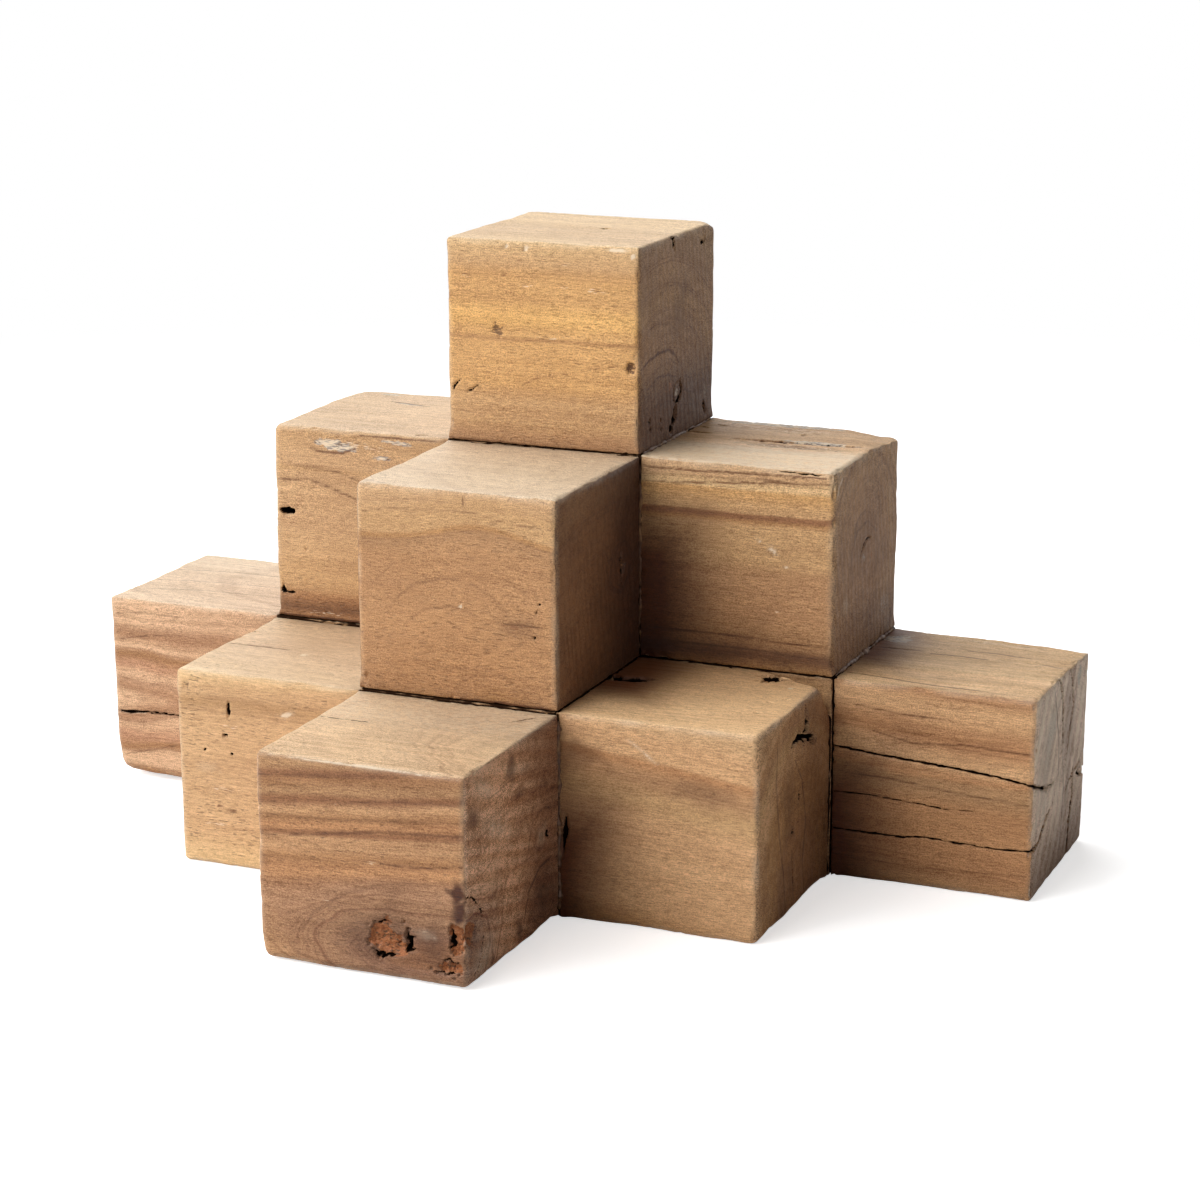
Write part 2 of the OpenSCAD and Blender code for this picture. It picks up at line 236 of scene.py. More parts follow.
@dataclass(frozen=True)
class Crack(Mark):
    """A check along a path, widest in its middle and closed at a tip, or open at an arris.

    With no depth it is a painted line.
    """

    path: Path
    width: float
    ends: Vec2 = (0.0, 0.0)
    shade: float = 1.0
    ragged: float = 0.25
    mask: str = "cavity"

    def windows(self) -> list[Window]:
        """Fine steps across each stretch of the path."""
        found = []
        step = min(max(FINE_STEP, self.width / 2.4), 0.9) if self.depth else max(0.9, self.width / 1.6)
        reach = self.width / 2 + 0.4
        for (u0, v0), (u1, v1) in zip(self.path, self.path[1:]):
            du, dv = abs(u1 - u0), abs(v1 - v0)
            if dv > SLOPE_LIMIT * du:
                found.append(self.span(0, min(u0, u1) - reach, max(u0, u1) + reach, step))
            if du > SLOPE_LIMIT * dv:
                found.append(self.span(1, min(v0, v1) - reach, max(v0, v1) + reach, step))
        return found

    def carve(self, uv: np.ndarray, seed: int) -> tuple[np.ndarray, dict[str, np.ndarray]]:
        """A groove whose depth falls off from the nearest point of the path.

        For each stretch, h is the share along it of the nearest point, kept from 0 to 1, and d
        the distance to that point. The groove is 1 - (2d / w)^2, where w closes towards a tip.
        """
        jitter = [waves(uv, length, seed + i) for i, length in enumerate((5.0, 5.0, 1.6, 1.6))]
        at = uv + self.ragged * np.stack([jitter[0] + 0.4 * jitter[2], jitter[1] + 0.4 * jitter[3]], 1)
        points = np.array(self.path, float)
        legs = np.linalg.norm(np.diff(points, axis=0), axis=1)
        starts = np.concatenate([[0.0], np.cumsum(legs)])
        best = np.full(len(uv), 1e9)
        along = np.zeros(len(uv))
        for i, leg in enumerate(legs):
            d = points[i + 1] - points[i]
            h = np.clip(((at - points[i]) @ d) / leg**2, 0, 1)
            far = np.linalg.norm(at - points[i] - h[:, None] * d, axis=1)
            nearer = far < best
            best = np.where(nearer, far, best)
            along = np.where(nearer, (starts[i] + h * leg) / starts[-1], along)
        opening = np.minimum(self.ends[0] + along / CRACK_TIP, self.ends[1] + (1 - along) / CRACK_TIP)
        half = self.width / 2 * np.clip(opening, 0.12, 1) * (1 + 0.25 * waves(uv, 9.0, seed + 4))
        groove = np.clip(1 - (best / half) ** 2, 0, 1)
        if self.shade < FAINT:
            return self.depth * np.sqrt(groove), {"vein": self.shade * np.clip(1 - best / (half + EDGE_REACH), 0, 1)}
        return self.depth * np.sqrt(groove), {self.mask: edge(half * (0.5 + 0.5 * self.shade) - best)}


@dataclass(frozen=True)
class Hole(Mark):
    """A hole with a round or oval mouth, length along the face and height up it."""

    at: Vec2
    length: float
    height: float = 0.0
    ragged: float = 0.08

    def windows(self) -> list[Window]:
        """Fine steps over the hole's mouth, both ways."""
        length, height = self.length, self.height or self.length
        u, v = self.at
        return [
            self.span(0, u - length / 2 - 0.6, u + length / 2 + 0.6, max(FINE_STEP, length / 7)),
            self.span(1, v - height / 2 - 0.6, v + height / 2 + 0.6, max(FINE_STEP, height / 7)),
        ]

    def carve(self, uv: np.ndarray, seed: int) -> tuple[np.ndarray, dict[str, np.ndarray]]:
        """A pit with steep walls: full depth where (u/a)^2 + (v/b)^2 is well under 1."""
        half = np.array([self.length, self.height or self.length]) / 2
        e = np.linalg.norm((uv - self.at) / half, axis=1) * (1 + self.ragged * waves(uv, 3.0, seed))
        pit = 1 - smoothstep(0.7, 1.08, e)
        return self.depth * pit, {"cavity": edge((1.05 - e) * half.min())}


@dataclass(frozen=True)
class Dish(Mark):
    """A shallow crumbled hollow of a given radius."""

    at: Vec2
    radius: float
    stretch: float = 1.0
    lumps: float = 0.35
    mask: str = "pit"
    strength: float = 0.5

    def windows(self) -> list[Window]:
        """Medium steps over the hollow."""
        u, v = self.at
        r, step = self.radius * 1.1, max(FINE_STEP, self.radius / 7)
        return [
            self.span(0, u - r * self.stretch, u + r * self.stretch, step),
            self.span(1, v - r, v + r, step),
        ]

    def carve(self, uv: np.ndarray, seed: int) -> tuple[np.ndarray, dict[str, np.ndarray]]:
        """A bowl 1 - e^3 deep, where e is the distance from its middle in radii, with lumps."""
        scale = np.array([self.radius * self.stretch, self.radius])
        e = np.linalg.norm((uv - self.at) / scale, axis=1)
        e = e * (1 + 0.2 * waves(uv, self.radius * 1.3, seed) + 0.1 * waves(uv, self.radius * 0.5, seed + 1))
        bowl = np.clip(1 - e**3, 0, 1) ** 0.7
        lumps = 1 + self.lumps * waves(uv, self.radius * 0.55, seed + 2) * waves(uv, 1.7, seed + 3)
        return self.depth * bowl * lumps, {self.mask: self.strength * (1 - smoothstep(0.75, 1.1, e))}


@dataclass(frozen=True)
class Patch(Mark):
    """A soft-edged stain, scuff or torn place, as an ellipse turned by an angle."""

    at: Vec2
    radius: float
    stretch: float = 1.0
    turn: float = 0.0
    mask: str = "dark"
    strength: float = 1.0

    def windows(self) -> list[Window]:
        """Steps that hold the patch's edge."""
        u, v = self.at
        step = min(max(0.9, self.radius / 3), COARSE_STEP)
        c, s = abs(math.cos(math.radians(self.turn))), abs(math.sin(math.radians(self.turn)))
        wide, high = c * self.stretch + s, s * self.stretch + c
        return [
            self.span(0, u - self.radius * 1.3 * wide, u + self.radius * 1.3 * wide, max(step, 1.5)),
            self.span(1, v - self.radius * 1.3 * high, v + self.radius * 1.3 * high, step),
        ]

    def carve(self, uv: np.ndarray, seed: int) -> tuple[np.ndarray, dict[str, np.ndarray]]:
        """A field that fades from 1 at the middle to 0 at 1.3 radii, with a wavering edge."""
        c, s = math.cos(math.radians(self.turn)), math.sin(math.radians(self.turn))
        rel = (uv - self.at) @ np.array([[c, -s], [s, c]])
        e = np.linalg.norm(rel / [self.radius * self.stretch, self.radius], axis=1)
        e = e * (1 + 0.2 * waves(uv, self.radius * 1.5, seed))
        soft = 1 - smoothstep(0.2, 1.3, e)
        rough = 1 + 0.6 * waves(uv, 2.2, seed + 1)
        return self.depth * soft * rough, {self.mask: self.strength * soft}


@dataclass(frozen=True)
class Strip(Mark):
    """A stain that fills a rectangle, from its low corner to its high one, with soft edges."""

    low: Vec2
    high: Vec2
    fade: float = 3.0
    mask: str = "dark"
    strength: float = 0.5

    def windows(self) -> list[Window]:
        """Steps that hold the edges."""
        step = min(max(0.9, self.fade / 2), COARSE_STEP)
        edges = [(0, self.low[0]), (0, self.high[0]), (1, self.low[1]), (1, self.high[1])]
        return [self.span(axis, at - self.fade, at + self.fade, step) for axis, at in edges]

    def carve(self, uv: np.ndarray, seed: int) -> tuple[np.ndarray, dict[str, np.ndarray]]:
        """The least distance inside the four edges, with a waver, over the fade."""
        inside = np.minimum(uv - self.low, np.array(self.high) - uv).min(1)
        inside = inside + 0.06 * self.fade * waves(uv, max(12.0, 2 * self.fade), seed)
        soft = smoothstep(-self.fade / 2, self.fade / 2, inside)
        return self.depth * soft, {self.mask: self.strength * soft}


@dataclass(frozen=True)
class Knot:
    """A branch inside the timber: the grain flows round the line from start to end."""

    start: Vec3
    end: Vec3
    core: float
    reach: float
    stretch: float = 0.65
    dark: float = 0.5
    lines: float = 0.3
    ragged: float = 6.0


@dataclass(frozen=True)
class Timber:
    """The finish of one cube's wood, cut from its own place in the trunk.

    bands gives the tone at heights up the front face, and heart the tone at distances from the
    pith that the front doesn't show. The pith is the trunk's middle as Y and Z in the cube, and
    lean is how far it drifts in Y and Z for each millimetre along X.
    """

    bands: tuple[tuple[float, Tone], ...]
    pith: Vec2
    seed: float
    heart: tuple[tuple[float, Tone], ...] = ()
    lean: Vec2 = (0.0, 0.0)
    wobble: float = 2.5
    line_gap: float = 1.6
    lines: float = 0.25
    mottle: float = 0.5
    streaks: float = 0.4
    hair: float = 1.1
    speckle: float = 1.9
    pores: float = 0.3
    end_tone: Tone = Tone.FAWN
    end_share: float = 0.45
    saw: float = 0.15
    saw_turn: float = 10.0
    saw_pitch: float = 5.0
    weathered: float = 0.1
    chalk: Tone = Tone.ASH
    # How much paler the tops are: partly dust and sanding, partly painted sheen and light from above.
    top_tone: Tone = Tone.BONE
    top_share: float = 0.35
    bow: Vec3 = (0.0, 0.0, 30.0)
    knots: tuple[Knot, ...] = ()

    def ring_at(self, place: Vec3) -> tuple[float, bool]:
        """The distance from the pith at a place in the cube, and whether it is above the pith."""
        y = place[1] - self.pith[0] - self.lean[0] * place[0]
        z = place[2] - self.pith[1] - self.lean[1] * place[0]
        fall = math.exp(-(((place[0] - self.bow[0]) / self.bow[2]) ** 2))
        return math.hypot(y, z) - self.bow[1] * fall, z >= 0

    def stops(self, above: bool) -> list[tuple[float, Tone]]:
        """The tones at distances from the pith, above it or below it."""
        found = [(*self.ring_at((50.0, 0.0, height)), tone) for height, tone in self.bands]
        own = [(ring, tone) for ring, side, tone in found if side == above]
        return sorted(own + list(self.heart), key=lambda stop: stop[0]) if own else []


class Graph:
    """A shader node tree while it is being built."""

    def __init__(self, tree: bpy.types.NodeTree) -> None:
        """Starts on a tree."""
        self.tree = tree

    def feed(self, socket: bpy.types.NodeSocket, value: object) -> None:
        """Links a socket to another, or sets its value."""
        if isinstance(value, bpy.types.NodeSocket):
            self.tree.links.new(value, socket)
        else:
            socket.default_value = value

    def add(self, kind: str, inputs: dict | None = None, **settings: object) -> bpy.types.Node:
        """Adds a node.

        Args:
            kind: The node's type.
            inputs: A value or a socket for each input, by name or number.
            settings: The node's own properties.

        Returns:
            The node.
        """
        node = self.tree.nodes.new(kind)
        for name, value in settings.items():
            setattr(node, name, value)
        for name, value in (inputs or {}).items():
            self.feed(node.inputs[name], value)
        return node

    def math(self, operation: str, a: object, b: object = 0.0, c: object = 0.0, clamp: bool = False):
        """A Math node's value."""
        node = self.add("ShaderNodeMath", {0: a, 1: b, 2: c}, operation=operation, use_clamp=clamp)
        return node.outputs[0]

    def vector(self, operation: str, a: object, b: object = (0.0, 0.0, 0.0)):
        """A Vector Math node's vector."""
        return self.add("ShaderNodeVectorMath", {0: a, 1: b}, operation=operation).outputs["Vector"]

    def scaled(self, vector: object, scale: Vec3, shift: object = (0.0, 0.0, 0.0)):
        """A vector times a vector, plus a shift."""
        node = self.add("ShaderNodeVectorMath", {0: vector, 1: scale, 2: shift}, operation="MULTIPLY_ADD")
        return node.outputs["Vector"]

    def number(self, operation: str, a: object, b: object = (0.0, 0.0, 0.0)):
        """A Vector Math node's value, such as a length or a dot product."""
        return self.add("ShaderNodeVectorMath", {0: a, 1: b}, operation=operation).outputs["Value"]

    def mix(self, factor: object, a: object, b: object, blend: str = "MIX"):
        """Two colours mixed."""
        node = self.add("ShaderNodeMix", data_type="RGBA", blend_type=blend, clamp_factor=True)
        colours = [s for s in node.inputs if s.type == "RGBA"]
        self.feed(node.inputs[0], factor)
        self.feed(colours[0], a)
        self.feed(colours[1], b)
        return next(s for s in node.outputs if s.type == "RGBA")

    def blend(self, factor: object, a: object, b: object):
        """Two numbers mixed."""
        return self.add("ShaderNodeMix", {0: factor, 2: a, 3: b}, data_type="FLOAT").outputs[0]

    def step(self, value: object, low: object, high: object, to: Vec2 = (0.0, 1.0)):
        """A smooth step of a value from low to high."""
        inputs = {0: value, 1: low, 2: high, 3: to[0], 4: to[1]}
        return self.add("ShaderNodeMapRange", inputs, interpolation_type="SMOOTHSTEP").outputs[0]

    def noise(self, vector: object, detail: float = 1.0, rough: float = 0.5):
        """Fractal noise from 0 to 1 in three dimensions."""
        inputs = {"Vector": vector, "Scale": 1.0, "Detail": detail, "Roughness": rough}
        return self.add("ShaderNodeTexNoise", inputs, noise_dimensions="3D").outputs[0]

    def noise_line(self, w: object, detail: float = 2.0, rough: float = 0.5):
        """Fractal noise from 0 to 1 along one number."""
        inputs = {"W": w, "Scale": 1.0, "Detail": detail, "Roughness": rough}
        return self.add("ShaderNodeTexNoise", inputs, noise_dimensions="1D").outputs[0]

    def place(self, group: bpy.types.NodeTree, inputs: dict) -> bpy.types.Node:
        """Places a shader group with its own values."""
        node = self.add("ShaderNodeGroup", node_tree=group)
        for name, value in inputs.items():
            self.feed(node.inputs[name], value)
        return node


class Effects:
    """The node groups that the woods share, each built once."""

    def __init__(self) -> None:
        """Builds every group."""
        self.rings = self.build_rings()
        self.knot = self.build_knot()
        self.lines = self.build_lines()
        self.fibres = self.build_fibres()
        self.saw = self.build_saw()
        self.ragged = self.build_ragged()

    @staticmethod
    def start(name: str, inputs: dict[str, object], outputs: tuple[str, ...]) -> tuple:
        """Starts a group.

        Args:
            name: The group's name.
            inputs: Each input's name and default value, whose kind picks the socket.
            outputs: The names of the outputs, which are all numbers.

        Returns:
            The graph, the group's input sockets and its output sockets.
        """
        tree = bpy.data.node_groups.new(name, "ShaderNodeTree")
        for label, value in inputs.items():
            kind = "NodeSocketVector" if isinstance(value, tuple) else "NodeSocketFloat"
            tree.interface.new_socket(label, in_out="INPUT", socket_type=kind).default_value = value
        for label in outputs:
            tree.interface.new_socket(label, in_out="OUTPUT", socket_type="NodeSocketFloat")
        return Graph(tree), tree.nodes.new("NodeGroupInput").outputs, tree.nodes.new("NodeGroupOutput").inputs

    def build_rings(self) -> bpy.types.NodeTree:
        """Distance from the pith's leaning line, with the place warped by slow noise.

        The bow takes height * exp(-((x - middle) / width)^2) off, which arches the rings. Above
        is 1 above the pith, and 0 below it.
        """
        g, i, o = self.start(
            "growth_rings",
            {"Place": (0.0, 0.0, 0.0), "Pith": (0.0, 0.0, 0.0), "Lean": (0.0, 0.0, 0.0), "Wobble": 3.0,
             "Seed": 0.0, "Bow Middle": 50.0, "Bow Height": 0.0, "Bow Width": 30.0},
            ("Ring", "Above", "Waver"),
        )
        seed = g.add("ShaderNodeCombineXYZ", {0: i["Seed"], 1: i["Seed"], 2: 3.7}).outputs[0]
        slow = g.noise(g.scaled(i["Place"], (0.006, 0.016, 0.016), seed))
        quick = g.noise(g.scaled(i["Place"], (0.025, 0.1, 0.1), seed))
        x = g.add("ShaderNodeSeparateXYZ", {0: i["Place"]}).outputs[0]
        drift = g.add("ShaderNodeVectorMath", {0: i["Lean"], "Scale": x}, operation="SCALE").outputs[0]
        away = g.vector("SUBTRACT", i["Place"], g.vector("ADD", i["Pith"], drift))
        ring = g.number("LENGTH", g.vector("MULTIPLY", away, (0.0, 1.0, 1.0)))
        ring = g.math("MULTIPLY_ADD", g.math("SUBTRACT", slow, 0.5), g.math("MULTIPLY", i["Wobble"], 2.4), ring)
        ring = g.math("MULTIPLY_ADD", g.math("SUBTRACT", quick, 0.5), g.math("MULTIPLY", i["Wobble"], 0.6), ring)
        t = g.math("DIVIDE", g.math("SUBTRACT", x, i["Bow Middle"]), i["Bow Width"])
        fall = g.math("EXPONENT", g.math("MULTIPLY", g.math("MULTIPLY", t, t), -1.0))
        ring = g.math("MULTIPLY_ADD", fall, g.math("MULTIPLY", i["Bow Height"], -1.0), ring)
        height = g.add("ShaderNodeSeparateXYZ", {0: away}).outputs[2]
        g.feed(o["Ring"], ring)
        g.feed(o["Above"], g.step(height, -5.0, 5.0))
        g.feed(o["Waver"], quick)
        return g.tree

    def build_knot(self) -> bpy.types.NodeTree:
        """Bends the rings round a branch.

        The distance is to the nearest point of the line from Start to End, with X shrunk by
        Stretch. Inside Reach the rings turn into that distance plus Base.
        """
        g, i, o = self.start(
            "knot_bend",
            {"Place": (0.0, 0.0, 0.0), "Ring": 0.0, "Waver": 0.5, "Start": (0.0, 0.0, 0.0),
             "End": (0.0, 0.0, 0.0), "Stretch": (0.65, 1.0, 1.0), "Base": 0.0, "Core": 5.0,
             "Reach": 30.0, "Ragged": 6.0},
            ("Ring", "Heart", "Halo"),
        )
        a = g.vector("MULTIPLY", i["Start"], i["Stretch"])
        b = g.vector("SUBTRACT", g.vector("MULTIPLY", i["End"], i["Stretch"]), a)
        p = g.vector("SUBTRACT", g.vector("MULTIPLY", i["Place"], i["Stretch"]), a)
        h = g.math("DIVIDE", g.number("DOT_PRODUCT", p, b), g.number("DOT_PRODUCT", b, b), clamp=True)
        foot = g.add("ShaderNodeVectorMath", {0: b, "Scale": h}, operation="SCALE").outputs[0]
        far = g.number("LENGTH", g.vector("SUBTRACT", p, foot))
        far = g.math("MULTIPLY_ADD", g.math("SUBTRACT", i["Waver"], 0.5), i["Ragged"], far)
        outside = g.step(far, g.math("MULTIPLY", i["Reach"], 0.4), i["Reach"])
        g.feed(o["Ring"], g.blend(outside, g.math("ADD", far, i["Base"]), i["Ring"]))
        core = i["Core"]
        g.feed(o["Heart"], g.step(far, g.math("MULTIPLY", core, 1.25), g.math("MULTIPLY", core, 0.7)))
        g.feed(o["Halo"], g.step(far, g.math("MULTIPLY", i["Reach"], 0.9), core))
        return g.tree

    def build_lines(self) -> bpy.types.NodeTree:
        """Growth lines: noise along the ring distance alone, strong in some bands of rings."""
        g, i, o = self.start("growth_lines", {"Ring": 0.0, "Gap": 1.6, "Seed": 0.0}, ("Broad", "Fine"))
        w = g.math("ADD", g.math("DIVIDE", i["Ring"], i["Gap"]), i["Seed"])
        g.feed(o["Broad"], g.step(g.noise_line(g.math("MULTIPLY", w, 0.17), 1.0), 0.3, 0.7))
        g.feed(o["Fine"], g.step(g.noise_line(w, 2.0, 0.65), 0.44, 0.7))
        return g.tree

    def build_fibres(self) -> bpy.types.NodeTree:
        """Streaks and hairs along X, a fine speckle, cloudy mottling, and open pores.

        Pores are short dashes along X, and dots on the end grain.
        """
        g, i, o = self.start(
            "fibres", {"Place": (0.0, 0.0, 0.0), "Seed": 0.0},
            ("Streak", "Hair", "Speckle", "Mottle", "Pore", "Grit"),
        )
        seed = g.add("ShaderNodeCombineXYZ", {0: i["Seed"], 1: 1.3, 2: i["Seed"]}).outputs[0]
        place = i["Place"]
        mottle = g.noise(g.scaled(place, (0.022, 0.034, 0.034), seed), 2.0)
        g.feed(o["Streak"], g.noise(g.scaled(place, (0.014, 0.3, 0.3), seed), 2.0, 0.6))
        g.feed(o["Hair"], g.noise(g.scaled(place, (0.22, 1.9, 1.9), seed), 1.0, 0.6))
        g.feed(o["Speckle"], g.noise(g.scaled(place, (1.5, 2.2, 2.2), seed), 1.0, 0.7))
        g.feed(o["Mottle"], mottle)
        dash = g.noise(g.scaled(place, (0.3, 1.5, 1.5), (5.1, 7.7, 2.2)), 0.0)
        g.feed(o["Pore"], g.math("MULTIPLY", g.step(dash, 0.66, 0.76), g.step(mottle, 0.35, 0.6)))
        g.feed(o["Grit"], g.noise(g.scaled(place, (0.28, 0.7, 0.7), seed), 2.0, 0.7))
        return g.tree

    def build_saw(self) -> bpy.types.NodeTree:
        """Saw marks on an end: soft stripes across one direction, broken up along the other."""
        g, i, o = self.start(
            "saw_marks",
            {"Place": (0.0, 0.0, 0.0), "Across": (0.0, 1.0, 0.0), "Along": (0.0, 0.0, 1.0), "Pitch": 5.0},
            ("Mark",),
        )
        across = g.math("DIVIDE", g.number("DOT_PRODUCT", i["Place"], i["Across"]), i["Pitch"])
        along = g.math("DIVIDE", g.number("DOT_PRODUCT", i["Place"], i["Along"]), i["Pitch"])
        at = g.add("ShaderNodeCombineXYZ", {0: across, 1: g.math("MULTIPLY", along, 0.05), 2: 0.4})
        slow = g.noise(g.vector("MULTIPLY", at.outputs[0], (0.35, 1.5, 1.0)), 0.0)
        fine = g.noise(g.vector("MULTIPLY", at.outputs[0], (3.0, 1.5, 1.0)), 1.0)
        turn = g.math("MULTIPLY", g.math("MULTIPLY_ADD", slow, 1.3, across), 2 * math.pi)
        wave = g.math("MULTIPLY_ADD", g.math("SINE", turn), 0.3, fine)
        g.feed(o["Mark"], g.step(wave, 0.15, 0.85))
        return g.tree

    def build_ragged(self) -> bpy.types.NodeTree:
        """Breaks up a soft mask: it shows where it beats a fine noise."""
        g, i, o = self.start("ragged_mask", {"Grit": 0.5, "Soft": 0.0}, ("Mask",))
        gap = g.math("SUBTRACT", i["Soft"], i["Grit"])
        g.feed(o["Mask"], g.step(gap, -0.12, 0.2))
        return g.tree


class WoodFinish:
    """Turns a Timber into a material for the cube in one cell."""

    RAMP_PAD = 25.0
    END_LINES = 1.2
    END_GRAIN = 3.0
    SHINE = 0.4
    MOST_LIFT = 0.5
    LIFT_SHARES = (0.85, 1.0, 1.12)

    def __init__(self, effects: Effects) -> None:
        """Keeps the shared groups."""
        self.effects = effects

    def band_ramp(self, g: Graph, stops: list[tuple[float, Tone]], ring: object):
        """The tones along the ring distance."""
        low, high = stops[0][0] - self.RAMP_PAD, stops[-1][0] + self.RAMP_PAD
        share = g.add("ShaderNodeMapRange", {0: ring, 1: low, 2: high}).outputs[0]
        node = g.add("ShaderNodeValToRGB", {0: share})
        ramp = node.color_ramp
        ramp.interpolation = "EASE"
        spots = [((distance - low) / (high - low), tone.linear) for distance, tone in stops]
        for element, (spot, colour) in zip(ramp.elements, (spots[0], spots[-1])):
            element.position, element.color = spot, colour
        for spot, colour in spots[1:-1]:
            ramp.elements.new(spot).color = colour
        return node.outputs[0]

    def grain(self, g: Graph, timber: Timber, place: object) -> tuple:
        """The rings with their knots, and their tone.

        Args:
            g: The material's graph.
            timber: The wood.
            place: The place in the cube.

        Returns:
            The ring distance, its tone, and each knot with its heart and halo.
        """
        rings = g.place(self.effects.rings, {
            "Place": place, "Pith": (0.0, *timber.pith), "Lean": (0.0, *timber.lean),
            "Wobble": timber.wobble, "Seed": timber.seed, "Bow Middle": timber.bow[0],
            "Bow Height": timber.bow[1], "Bow Width": timber.bow[2],
        })
        ring = rings.outputs["Ring"]
        found = []
        for knot in timber.knots:
            middle = tuple((a + b) / 2 for a, b in zip(knot.start, knot.end))
            values = {
                "Place": place, "Waver": rings.outputs["Waver"], "Start": knot.start, "End": knot.end,
                "Stretch": (knot.stretch, 1.0, 1.0), "Core": knot.core, "Reach": knot.reach,
                "Base": timber.ring_at(middle)[0], "Ragged": knot.ragged,
            }
            bend = g.place(self.effects.knot, {**values, "Ring": ring})
            ring = bend.outputs["Ring"]
            found.append((knot, bend.outputs["Heart"], bend.outputs["Halo"]))
        upper, lower = (timber.stops(above) for above in (True, False))
        tone = self.band_ramp(g, upper or lower, ring)
        if upper and lower:
            tone = g.mix(rings.outputs["Above"], self.band_ramp(g, lower, ring), tone)
        return ring, tone, found

    def make(self, name: str, timber: Timber, corner: Vec3) -> bpy.types.Material:
        """Builds the material.

        Args:
            name: The material's name.
            timber: The wood.
            corner: The cell's lowest corner, in millimetres.

        Returns:
            The material.
        """
        material = bpy.data.materials.new(name)
        material.use_nodes = True
        g = Graph(material.node_tree)
        shader = material.node_tree.nodes["Principled BSDF"]
        seat = g.add("ShaderNodeTexCoord")
        mapping = {"Vector": seat.outputs["Object"], "Location": [-c for c in corner], "Scale": (1 / MM,) * 3}
        place = g.add("ShaderNodeMapping", mapping).outputs[0]

        ring, tone, knots = self.grain(g, timber, place)
        lines = g.place(self.effects.lines, {"Ring": ring, "Gap": timber.line_gap, "Seed": timber.seed}).outputs
        fibres = g.place(self.effects.fibres, {"Place": place, "Seed": timber.seed}).outputs
        turn = math.radians(timber.saw_turn)
        saw = g.place(self.effects.saw, {
            "Place": place, "Across": (0.0, math.cos(turn), math.sin(turn)),
            "Along": (0.0, -math.sin(turn), math.cos(turn)), "Pitch": timber.saw_pitch,
        }).outputs["Mark"]
        normal = g.add("ShaderNodeSeparateXYZ", {0: seat.outputs["Normal"]})
        end = g.step(g.math("ABSOLUTE", normal.outputs[0]), 0.55, 0.85)
        top = g.step(normal.outputs[2], 0.6, 0.95)

        strength = timber.lines
        for knot, heart, halo in knots:
            strength = g.math("MULTIPLY_ADD", halo, knot.lines, strength)
        band = g.math("MULTIPLY_ADD", lines["Broad"], 0.75, 0.25)
        strength = g.math("MULTIPLY", strength, g.math("MULTIPLY_ADD", end, self.END_LINES, 1.0))
        strength = g.math("MULTIPLY", strength, g.math("MULTIPLY", band, lines["Fine"]), clamp=True)
        colour = g.mix(end, tone, g.mix(timber.end_share, tone, timber.end_tone.linear))
        # Tops lean to a paler tone: partly dust and sanding, partly painted sheen and light from above.
        colour = g.mix(g.math("MULTIPLY", top, timber.top_share), colour, timber.top_tone.linear)
        colour = g.mix(strength, colour, Tone.LINE.linear, "MULTIPLY")
        colour = g.mix(g.math("MULTIPLY", lines["Broad"], timber.lines * 0.45), colour, Tone.LINE.linear, "MULTIPLY")
        for knot, heart, halo in knots:
            colour = g.mix(g.math("MULTIPLY", halo, knot.dark), colour, Tone.PLUM.linear)
            colour = g.mix(g.math("MULTIPLY", heart, 0.7), colour, Tone.CHESTNUT.linear)
        weights = {"Mottle": timber.mottle, "Streak": timber.streaks, "Hair": timber.hair, "Speckle": timber.speckle}
        lift = 1 - sum(weights.values()) / 2
        for part, weight in weights.items():
            lift = g.math("MULTIPLY_ADD", fibres[part], weight, lift)
        off = g.math("MULTIPLY", g.math("SUBTRACT", lift, 1.0), g.math("MULTIPLY_ADD", end, self.END_GRAIN, 1.0))
        off = g.math("MINIMUM", g.math("MAXIMUM", off, -0.7), self.MOST_LIFT)
        warm = {n: g.math("MULTIPLY_ADD", off, share, 1.0) for n, share in enumerate(self.LIFT_SHARES)}
        colour = g.mix(1.0, colour, g.add("ShaderNodeCombineColor", warm).outputs[0], "MULTIPLY")

        cut = g.math("MULTIPLY", end, saw)
        colour = g.mix(g.math("MULTIPLY", cut, timber.saw), colour, Tone.LINE.linear, "MULTIPLY")
        chalk = g.math("MULTIPLY", g.math("SUBTRACT", end, cut), timber.weathered)
        colour = g.mix(chalk, colour, timber.chalk.linear)
        colour = g.mix(g.math("MULTIPLY", fibres["Pore"], timber.pores), colour, Tone.COCOA.linear)

